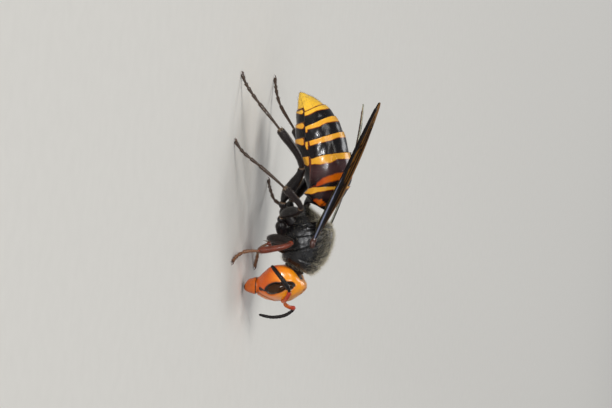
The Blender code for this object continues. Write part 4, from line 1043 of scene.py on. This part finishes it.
def wingMaterial(name, clearness, film, band, edge):
    # Smoky amber chitin film between dark veins: it lets some light through and shines softly.
    made, tree, shader = newMaterial(name, {"IOR": 1.56, "Roughness": 0.3, "Specular IOR Level": 0.1})
    streaks = pattern(tree, "TexNoise", 0.5, 4, (0.08, 1, 1))
    base = paint(tree, film[0], (streaks, film[1]))
    darkening = spread(tree, "vein", 0.0, 0.4, 0.1, 1.111)
    base = paint(tree, film[2], (darkening, base))
    veins = spread(tree, "vein", -0.02, 0.07)
    base = paint(tree, "140A06", (veins, base))
    # the folded front part is nearly black, with painted pale highlights along its two edges
    inside = spread(tree, "band" if band else "lead", -0.1, 0.2, 0.1, 1.429)
    base = paint(tree, paint(tree, "060507", (streaks, "17110F")), (inside, base))
    # painted highlight along the edges, in the last colour given to each wing film
    paintedHighlight = spread(tree, "paintedHighlight", 0.0, 0.07, 0.03, 1.111)
    base = paint(tree, paint(tree, edge, (streaks, "2A2C32")), (paintedHighlight, base))
    # painted highlight along the fold, in pale grey
    foldHighlight = spread(tree, "foldHighlight", 0.0, 0.07, 0.02, 1.111)
    solid = addNode(tree, "Math", {"operation": "MULTIPLY"}, {0: veins, 1: inside})
    span = spread(tree, "span", 14.0, 27.0)
    thin = addNode(tree, "Math", {"operation": "MULTIPLY_ADD"}, {0: span, 1: -0.18, 2: clearness})
    alpha = addNode(tree, "MapRange", None, {"Value": solid, "To Min": 1.0, "To Max": thin})
    tree.links.new(alpha, shader.inputs["Alpha"])
    finishWith(tree, shader, paint(tree, "80828C", (foldHighlight, base)),
               (0.35, 0.08, "TexNoise", 0.7, 4, (0.12, 1, 1)))
    return made


# each film's last colour is its painted highlight along the edges
foreFilm = wingMaterial("amber_wing_film_near", 0.94, ("8E5C0E", "644008", "3C2406"), True, "8288A0")
farFilm = wingMaterial("amber_wing_film_far", 0.94, ("A46A10", "6E440A", "442404"), True, "DADCC4")
hindFilm = wingMaterial("amber_wing_film_hind", 0.5, ("A08848", "786428", "4E4018"), False, "5E5028")
nearOrFar = {"r": foreFilm, "l": farFilm}
for label, wing in wings["sides"].items():
    for pair, film, drop in (("fore", nearOrFar[label], 0.0), ("hind", hindFilm, wings["drop"])):
        skin = wingSkin(wing, wings[pair], wings[pair + "Veins"], *wings[pair + "Mesh"], drop)
        addPiece("wing_%s_%s" % (pair, label), skin, film, ["%swing_%s" % (pair, label)])

# the lobes over the wing roots: back along the span, towards the trailing edge, radii, rings, sides
rootLobes = [(1.15, 0.375, (0.9, 0.8, 0.52), 24, 36), (0.3, 0.45, (0.75, 0.42, 0.36), 18, 28)]
reddish, tree, shader = newMaterial("polished_cuticle_rust", {
    # domed hard chitin scales, smooth with a few pits: dark rust with a soft shine
    "IOR": 1.56, "Roughness": 0.3, "Coat Weight": 0.5, "Coat Roughness": 0.15})
finishWith(tree, shader, paint(tree, "4E2212", (pattern(tree, "TexNoise", 0.6, 4), "180B08")),
           (0.35, 0.04, "TexVoronoi", 0.15, 0))
lobes = []
for wing in wings["sides"].values():
    root, span, chord, _ = wingAxes(wing)
    lobes += [ballSkin(root - span * behind + chord * over, radii, rings, sides)
              for behind, over, radii, rings, sides in rootLobes]
addPiece("tegulae", joinSkins(lobes), reddish)
print("stage: wings")


# The legs with their spurs and claws.

legs = {
    # tip of the coxa, root of the femur, knee, ankle, two foot joints and the claws' root
    "joints": {
        "fore_r": [(-8.8, -3.2, 5.2), (-8.9, -4.0, 4.8), (-8.3, -7.9, 9.4), (-6.7, -8.5, 4.1),
                   (-6.4, -9.2, 1.9), (-5.6, -10.3, 0.75), (-4.6, -11.5, 0.2)],
        "mid_r": [(-11.5, -3.9, 6.7), (-12.8, -4.7, 6.9), (-14.5, -9.4, 11.0), (-17.8, -14.0, 8.7),
                  (-21.2, -15.6, 4.5), (-23.4, -16.1, 1.5), (-25.0, -16.4, 0.2)],
        "hind_r": [(-14.5, -3.1, 6.8), (-15.4, -3.7, 6.8), (-21.5, -7.5, 10.3), (-27.7, -12.9, 6.95),
                   (-32.5, -14.0, 2.75), (-35.0, -14.4, 0.9), (-36.5, -14.6, 0.2)],
        "fore_l": [(-8.8, 3.2, 5.2), (-8.9, 4.0, 4.8), (-8.5, 7.6, 8.3), (-7.7, 6.6, 2.6),
                   (-6.6, 7.0, 1.1), (-4.9, 7.9, 0.6), (-3.5, 8.7, 0.2)],
        "mid_l": [(-11.4, 3.9, 6.2), (-12.3, 4.7, 6.4), (-12.9, 9.3, 10.8), (-14.2, 12.7, 5.4),
                  (-15.6, 14.3, 1.9), (-17.4, 15.2, 0.8), (-19.1, 15.8, 0.2)],
        "hind_l": [(-14.5, 3.1, 6.8), (-15.4, 3.7, 6.8), (-21.6, 7.6, 9.7), (-28.5, 11.0, 5.15),
                   (-33.0, 13.0, 1.8), (-35.4, 14.0, 0.8), (-37.6, 15.0, 0.2)],
    },
    "seats": {"fore": (0.24, 52.0), "mid": (0.56, 58.0), "hind": (0.83, 42.0)},  # place, degrees below the side
    "scale": {"fore": 0.88, "mid": 0.96, "hind": 1.1},
    "steps": {"coxa": 70, "femur": 90, "tibia": 90, "tarsus": 200},
    # place, radius of each part
    "coxa": [(0, 1.0), (0.3, 1.0), (0.68, 0.68), (0.72, 0.5), (0.78, 0.62), (0.93, 0.58), (1, 0.4)],
    "femur": [(0, 0.4), (0.06, 0.52), (0.25, 0.88), (0.55, 0.88), (0.85, 0.62), (0.95, 0.58), (1, 0.42)],
    "tibia": [(0, 0.4), (0.06, 0.48), (0.2, 0.52), (0.6, 0.63), (0.9, 0.66), (0.97, 0.58), (1, 0.36)],
    "cuts": [0.0, 0.5, 0.66, 0.78, 0.86, 1.0],  # ends of the foot's segments
    "thin": 0.2,
    "thick": 0.32,
    "sides": 26,
    "spurs": {"fore": (0.0,), "mid": (-0.4, 0.4), "hind": (-0.4, 0.4)},  # sideways lean of each
    "spurLength": 1.35,
    "spurRadius": 0.14,
    "claws": (-0.55, 0.55),
    "clawLength": 0.8,
    "clawRadius": 0.15,
    "clawTip": 0.05,        # height of its point above the floor
    "spikeMesh": (20, 12),  # steps along, sides
}


def thoraxSeat(place, below, side):
    # A point of the thorax at a place and an angle below its side, and the way out there.
    def surface(at, degrees):
        centreX, centreZ, halfWidth, halfHeight, lean = rowsAt(thorax["rows"], at)
        turned, lean = math.radians(degrees), math.radians(lean)
        across = side * powerPart(math.cos(turned), thorax["power"]) * halfWidth
        down = -powerPart(math.sin(turned), thorax["power"]) * halfHeight
        return np.array([centreX - math.sin(lean) * down, across, centreZ + math.cos(lean) * down])
    point = surface(place, below)
    out = unit(np.cross(surface(place + 0.01, below) - point, surface(place, below + 1) - point))
    centreX, centreZ = rowsAt(thorax["rows"], place)[:2]
    return point, out if out @ (point - np.array([centreX, 0, centreZ])) > 0 else -out


def legParts(label):
    # The path, radius and kind of every ring of one leg, from inside the thorax to the last foot joint.
    pair, sideLabel = label.split("_")
    side = 1 if sideLabel == "l" else -1
    joints = [np.array(p) for p in legs["joints"][label]]
    coxaTip, root, knee, ankle, first, fourth, claw = joints
    seat, out = thoraxSeat(*legs["seats"][pair], side)
    scale = legs["scale"][pair]

    def way(a, b, c):
        return unit(unit(b - a) + unit(c - b))
    hip, kneeWay, ankleWay = way(coxaTip, root, knee), way(root, knee, ankle), way(knee, ankle, first)
    paths, radii, kinds = [], [], []
    pieces = (("coxa", [seat - out * 0.3, coxaTip, root], out, hip), ("femur", [root, knee], hip, kneeWay),
              ("tibia", [knee, ankle], kneeWay, ankleWay))
    for kind, (rows, points, startWay, endWay) in enumerate(pieces):
        count = legs["steps"][rows]
        path, _ = curveThrough(points, startWay, endWay, count)
        place = np.linspace(0, 1, count + 1)
        paths.append(path[:-1])
        radii.append((rowsAt(legs[rows], place)[0] * scale)[:-1])
        kinds.append(np.full(count, float(kind)) + place[:-1])
    count = legs["steps"]["tarsus"]
    path, _ = curveThrough([ankle, first, fourth, claw], ankleWay, claw - fourth, count)
    place = np.linspace(0, 1, count + 1)
    cuts = np.array(legs["cuts"])
    low = np.clip(np.searchsorted(cuts, place, side="right") - 1, 0, len(cuts) - 2)
    part = (place - cuts[low]) / (cuts[low + 1] - cuts[low])
    thickness = legs["thin"] + (legs["thick"] - legs["thin"]) * ramp(0, 0.9, part)
    thickness = thickness * (1 - 0.4 * ramp(0.95, 1.0, part)) * ramp(-0.12, 0.02, part)
    paths.append(path)
    radii.append(thickness)
    kinds.append(3 + place * 0.999)
    path = np.concatenate(paths)
    path[:, 2] = np.maximum(path[:, 2], 0.0)
    grid = sweep(path, np.concatenate(radii), legs["sides"])
    grid[..., 2] = np.maximum(grid[..., 2], footHeight)
    return grid, np.concatenate(kinds), joints, scale


def spikeSkin(base, middle, tip, radius):
    steps, sides = legs["spikeMesh"]
    path, _ = curveThrough([base, middle, tip], middle - base, tip - middle, steps)
    grid = sweep(path, radius * (1 - 0.9 * np.linspace(0, 1, steps + 1) ** 1.4), sides)
    grid[..., 2] = np.maximum(grid[..., 2], footHeight)
    return tubeSkin(grid)


def legMaterial(name, colours, joint):
    # Dark hard chitin, pitted at the hair roots, paler at the joint rims.
    made, tree, shader = newMaterial(name, {"IOR": 1.56, "Roughness": 0.28, "Specular IOR Level": 0.26,
                                            "Coat Weight": 0.08, "Coat Roughness": 0.1})
    upper, shin, foot = [paint(tree, low, (pattern(tree, "TexNoise", size, 4), high))
                         for low, high, size in colours]
    base = paint(tree, upper, (spread(tree, "limb", 0.0, 1.0), shin), (spread(tree, "foot", 0.0, 1.0), foot))
    rim = spread(tree, "joint", 0.06, 0.22, 0.04, 0.4)
    finishWith(tree, shader, paint(tree, joint, (rim, base)),
               (0.2, 0.06, "TexNoise", 0.5, 3), (0.45, 0.04, "TexVoronoi", 0.11, 0))
    return made


# two tones and the size in mm of the mottle for the upper leg, the shin and the foot, then the joint rims
foreLeg = legMaterial("pitted_cuticle_fore_leg", [
    ("0A0706", "1A100E", 1.0), ("843A24", "34150E", 0.8), ("8A6244", "4A281C", 0.5)], "7C3216")
darkLeg = legMaterial("pitted_cuticle_leg", [
    ("080607", "161011", 1.0), ("130E0E", "261C1A", 0.8), ("261B16", "463426", 0.5)], "5E4A38")
# hard solid chitin points, worn smooth: brown black claws, and paler spurs that shine less
clawHorn, tree, shader = newMaterial("claw_chitin", {"IOR": 1.56, "Roughness": 0.25, "Coat Weight": 0.5})
finishWith(tree, shader, paint(tree, "120B09", (pattern(tree, "TexNoise", 0.3), "5A2E14")))
spurHorn, tree, shader = newMaterial("spur_chitin", {"IOR": 1.56, "Roughness": 0.35, "Coat Weight": 0.3})
finishWith(tree, shader, paint(tree, "8A7A5C", (pattern(tree, "TexNoise", 0.3), "4A3A28")))
legSkins = {}
for label in legs["joints"]:
    pair, sideLabel = label.split("_")
    grid, kinds, joints, scale = legParts(label)
    legSkins[label] = (grid, kinds)
    _, root, knee, ankle, first, fourth, claw = joints
    middle = grid.mean(1)
    jointGap = np.min([np.linalg.norm(middle - p, axis=1) for p in (root, knee, ankle)], axis=0)
    limbTone = np.clip((kinds - 1.97) / 0.06, 0, 1)
    footTone = np.clip((kinds - 2.98) / 0.04, 0, 1)
    fields = {"joint": jointGap[:, None], "limb": limbTone[:, None], "foot": footTone[:, None]}
    addPiece("leg_" + label, tubeSkin(grid, fields), foreLeg if pair == "fore" else darkLeg,
             ["%s_%s_%s" % (pair, part, sideLabel) for part in ("coxa", "femur", "tibia", "tarsus")])
    shin, foot = unit(ankle - knee), unit(first - ankle)
    away = unit(shin - foot - shin * ((shin - foot) @ shin))
    sideways = np.cross(shin, away)
    spikes = []
    for lean in legs["spurs"][pair]:
        out = unit(away + sideways * lean)
        base = ankle - shin * 0.5 + out * (0.55 * scale - 0.2)
        tip = base + unit(shin + out * 0.45) * legs["spurLength"]
        spikes.append(spikeSkin(base, (base + tip) / 2 + out * 0.08, tip, legs["spurRadius"]))
    addPiece("spurs_" + label, joinSkins(spikes), spurHorn)
    level = unit(np.array([(claw - fourth)[0], (claw - fourth)[1], 0]))
    across = np.array([-level[1], level[0], 0])
    claws = []
    for lean in legs["claws"]:
        out = unit(level + across * lean)
        base = claw - level * 0.2 + out * 0.08
        tip = base + out * legs["clawLength"]
        middle = base + (tip - base) * 0.55 + np.array([0, 0, 0.14])
        tip[2] = legs["clawTip"]
        claws.append(spikeSkin(base, middle, tip, legs["clawRadius"]))
    addPiece("claws_" + label, joinSkins(claws), clawHorn)
print("stage: legs")


# Short hair over the cuticle.

hair = {
    "rings": 3,
    "taper": 0.75,      # share of its width that a hair loses on the way to its point
    "patch": 0.003,     # size of each hair's own patch on the unwrap
}


def hairMesh(name, roots, ways, lengths, radii, lean, unwrap, material):
    # Every hair is a three-sided tapering blade, bent towards its lean, closed at its tip.
    count, rings = len(roots), hair["rings"]
    ways, lean = unit(ways), np.asarray(lean)
    side = unit(np.cross(ways, unit(draw.normal(size=(count, 3)))))
    other = np.cross(ways, side)
    levels = np.linspace(0, 1, rings + 1)[:-1]
    verts = np.zeros((count, rings * 3 + 1, 3))
    for k, level in enumerate(levels):
        centre = roots + ways * (lengths * level)[:, None] + lean * (lengths * level ** 2)[:, None]
        for j in range(3):
            turn = 2 * math.pi * j / 3
            width = (radii * (1 - hair["taper"] * level))[:, None]
            verts[:, k * 3 + j] = centre + (side * math.cos(turn) + other * math.sin(turn)) * width
    verts[:, -1] = roots + ways * lengths[:, None] + lean * lengths[:, None]
    verts[..., 2] = np.maximum(verts[..., 2], leastHeight)
    each = verts.shape[1]
    quads, quadCorners, tris, triCorners = [], [], [], []
    for k in range(rings - 1):
        for j in range(3):
            after = (j + 1) % 3
            quads.append([k * 3 + j, k * 3 + after, (k + 1) * 3 + after, (k + 1) * 3 + j])
            quadCorners.append([(j / 3, k / rings), ((j + 1) / 3, k / rings), ((j + 1) / 3, (k + 1) / rings),
                                (j / 3, (k + 1) / rings)])
    for j in range(3):
        k, after = rings - 1, (j + 1) % 3
        tris.append([k * 3 + j, k * 3 + after, rings * 3])
        triCorners.append([(j / 3, k / rings), ((j + 1) / 3, k / rings), ((j + 0.5) / 3, 1.0)])
    start = np.arange(count)[:, None, None] * each
    quadFaces = (np.array(quads)[None] + start).reshape(-1, 4)
    triFaces = (np.array(tris)[None] + start).reshape(-1, 3)
    mesh = bpy.data.meshes.new(name)
    mesh.from_pydata(((verts.reshape(-1, 3) + modelShift) * mm).tolist(), [],
                     quadFaces.tolist() + triFaces.tolist())
    uv = mesh.uv_layers.new(name="OFBake")
    corners = [(unwrap[:, None, None] + (np.array(own)[None] - 0.5) * hair["patch"]).reshape(-1, 2)
               for own in (quadCorners, triCorners)]
    uv.data.foreach_set("uv", np.concatenate(corners).astype(np.float32).reshape(-1))
    showMesh(name, mesh, {"tone": np.repeat(draw.random(count), each)}, material)


def scatter(grid, out, count, weight):
    # Root places spread over a tube skin by area and weight, with their way out, way along, unwrap and
    # the grid square they stand in.
    rings, sides = grid.shape[:2]
    a, b = grid[:-1], np.roll(grid, -1, axis=1)[:-1]
    c = grid[1:]
    area = np.linalg.norm(np.cross(b - a, c - a), axis=-1) * np.asarray(weight)[:-1]
    chance = area.reshape(-1) / area.sum()
    pick = draw.choice(len(chance), size=count, p=chance)
    k, j = pick // sides, pick % sides
    s, t = draw.random(count), draw.random(count)
    after = (j + 1) % sides
    root = ((grid[k, j] * (1 - t)[:, None] + grid[k, after] * t[:, None]) * (1 - s)[:, None]
            + (grid[k + 1, j] * (1 - t)[:, None] + grid[k + 1, after] * t[:, None]) * s[:, None])
    along = unit(grid[k + 1, j] - grid[k, j])
    unwrap = np.stack([(j + t) / sides, (k + s) / rings], -1) * 0.99 + 0.005
    return root, out[k, j], along, unwrap, k, j


def hairMaterial(name, low, high):
    # Fine grown chitin bristles: dull along their length, with a soft pale sheen where light grazes them.
    made, tree, shader = newMaterial(name, {"IOR": 1.5, "Roughness": 0.5, "Sheen Weight": 0.3})
    tone = addNode(tree, "Attribute", {"attribute_name": "tone"}, output="Fac")
    finishWith(tree, shader, paint(tree, low, (tone, high), (pattern(tree, "TexNoise", 0.6), low)))
    return made


tanHair = hairMaterial("fine_hair_tan", "A0957A", "E2DAC0")
goldHair = hairMaterial("fine_hair_gold", "A8702A", "E8B45A")
greyHair = hairMaterial("fine_hair_grey", "3A3028", "8A7A64")
brownHair = hairMaterial("fine_hair_brown", "2E2018", "8A6438")
# hairs in a coat, shortest and longest in mm, radius in mm, how much they stand off and lie along the skin
coats = {
    "thorax": {"count": 6000, "length": (0.28, 0.92), "radius": 0.009, "lift": 0.8, "lie": 0.75},
    "head": {"count": 2600, "length": (0.08, 0.2), "radius": 0.008, "lift": 0.7, "lie": 0.6},
    "gaster": {"count": 4200, "length": (0.12, 0.3), "radius": 0.0065, "lift": 0.35, "lie": 0.95},
    "leg": {"count": 1500, "length": (0.16, 0.4), "radius": 0.0075, "lift": 0.6, "lie": 0.8},
}


def coat(name, grid, out, weight, settings, material, longer=None, lieWay=1.0):
    # One coat over a skin. Weight says how thick it grows, longer how long, both over the skin's grid.
    root, way, along, unwrap, k, j = scatter(grid, out, settings["count"], weight)
    low, high = settings["length"]
    count = len(root)
    lengths = low + (high - low) * draw.random(count) ** 1.5
    if longer is not None:
        lengths = lengths * longer[k, j]
    lie = along * lieWay + draw.normal(size=(count, 3)) * 0.25
    way = way * settings["lift"] + lie * settings["lie"] * 0.5
    radii = settings["radius"] * draw.uniform(0.7, 1.2, count)
    hairMesh(name, root - unit(way) * 0.03, way, lengths, radii, lie * settings["lie"] * 0.4, unwrap, material)


angle = roundAngles(thorax["sides"])
topness = 0.08 + 0.92 * ramp(0.25, 0.95, np.sin(angle))[None, :] + 0 * thoraxGrid[..., 0]
# longer hair also hangs from the throat
topness = np.maximum(topness, 0.7 * ramp(0.1, 0.03, np.linspace(0, 1, thorax["steps"] + 1))[:, None])
coat("thorax_hair", thoraxGrid, thoraxOut, topness, coats["thorax"], tanHair, 0.55 + 0.45 * topness)
x, y, z = np.moveaxis(headGrid, -1, 0)
headWeight = np.where(headFields["line"] < 0.0, 0.0, 1.0) * ramp(0.05, 0.3, headFields["rim"])
headLonger = 1.0 + 1.2 * ramp(9.5, 10.6, z) + 0.6 * ramp(-3.0, -4.0, x)
coat("head_hair", headGrid, headOut, headWeight, coats["head"], goldHair, headLonger, -1.0)
plateAt = gasterFields["plate"]
coat("gaster_hair", gasterGrid, gasterOut, 0.5 + 1.5 * ramp(4.5, 5.6, plateAt), coats["gaster"], brownHair,
     1.0 + 0.8 * ramp(4.8, 5.6, plateAt))
for label, (grid, kinds) in legSkins.items():
    weight = np.where(kinds < 0.3, 0.0, np.where(kinds > 3, 1.6, 1.0))[:, None] + 0 * grid[..., 0]
    coat("leg_hair_" + label, grid, gridNormals(grid), weight, coats["leg"],
         brownHair if label.startswith("fore") else greyHair)
print("stage: hair")
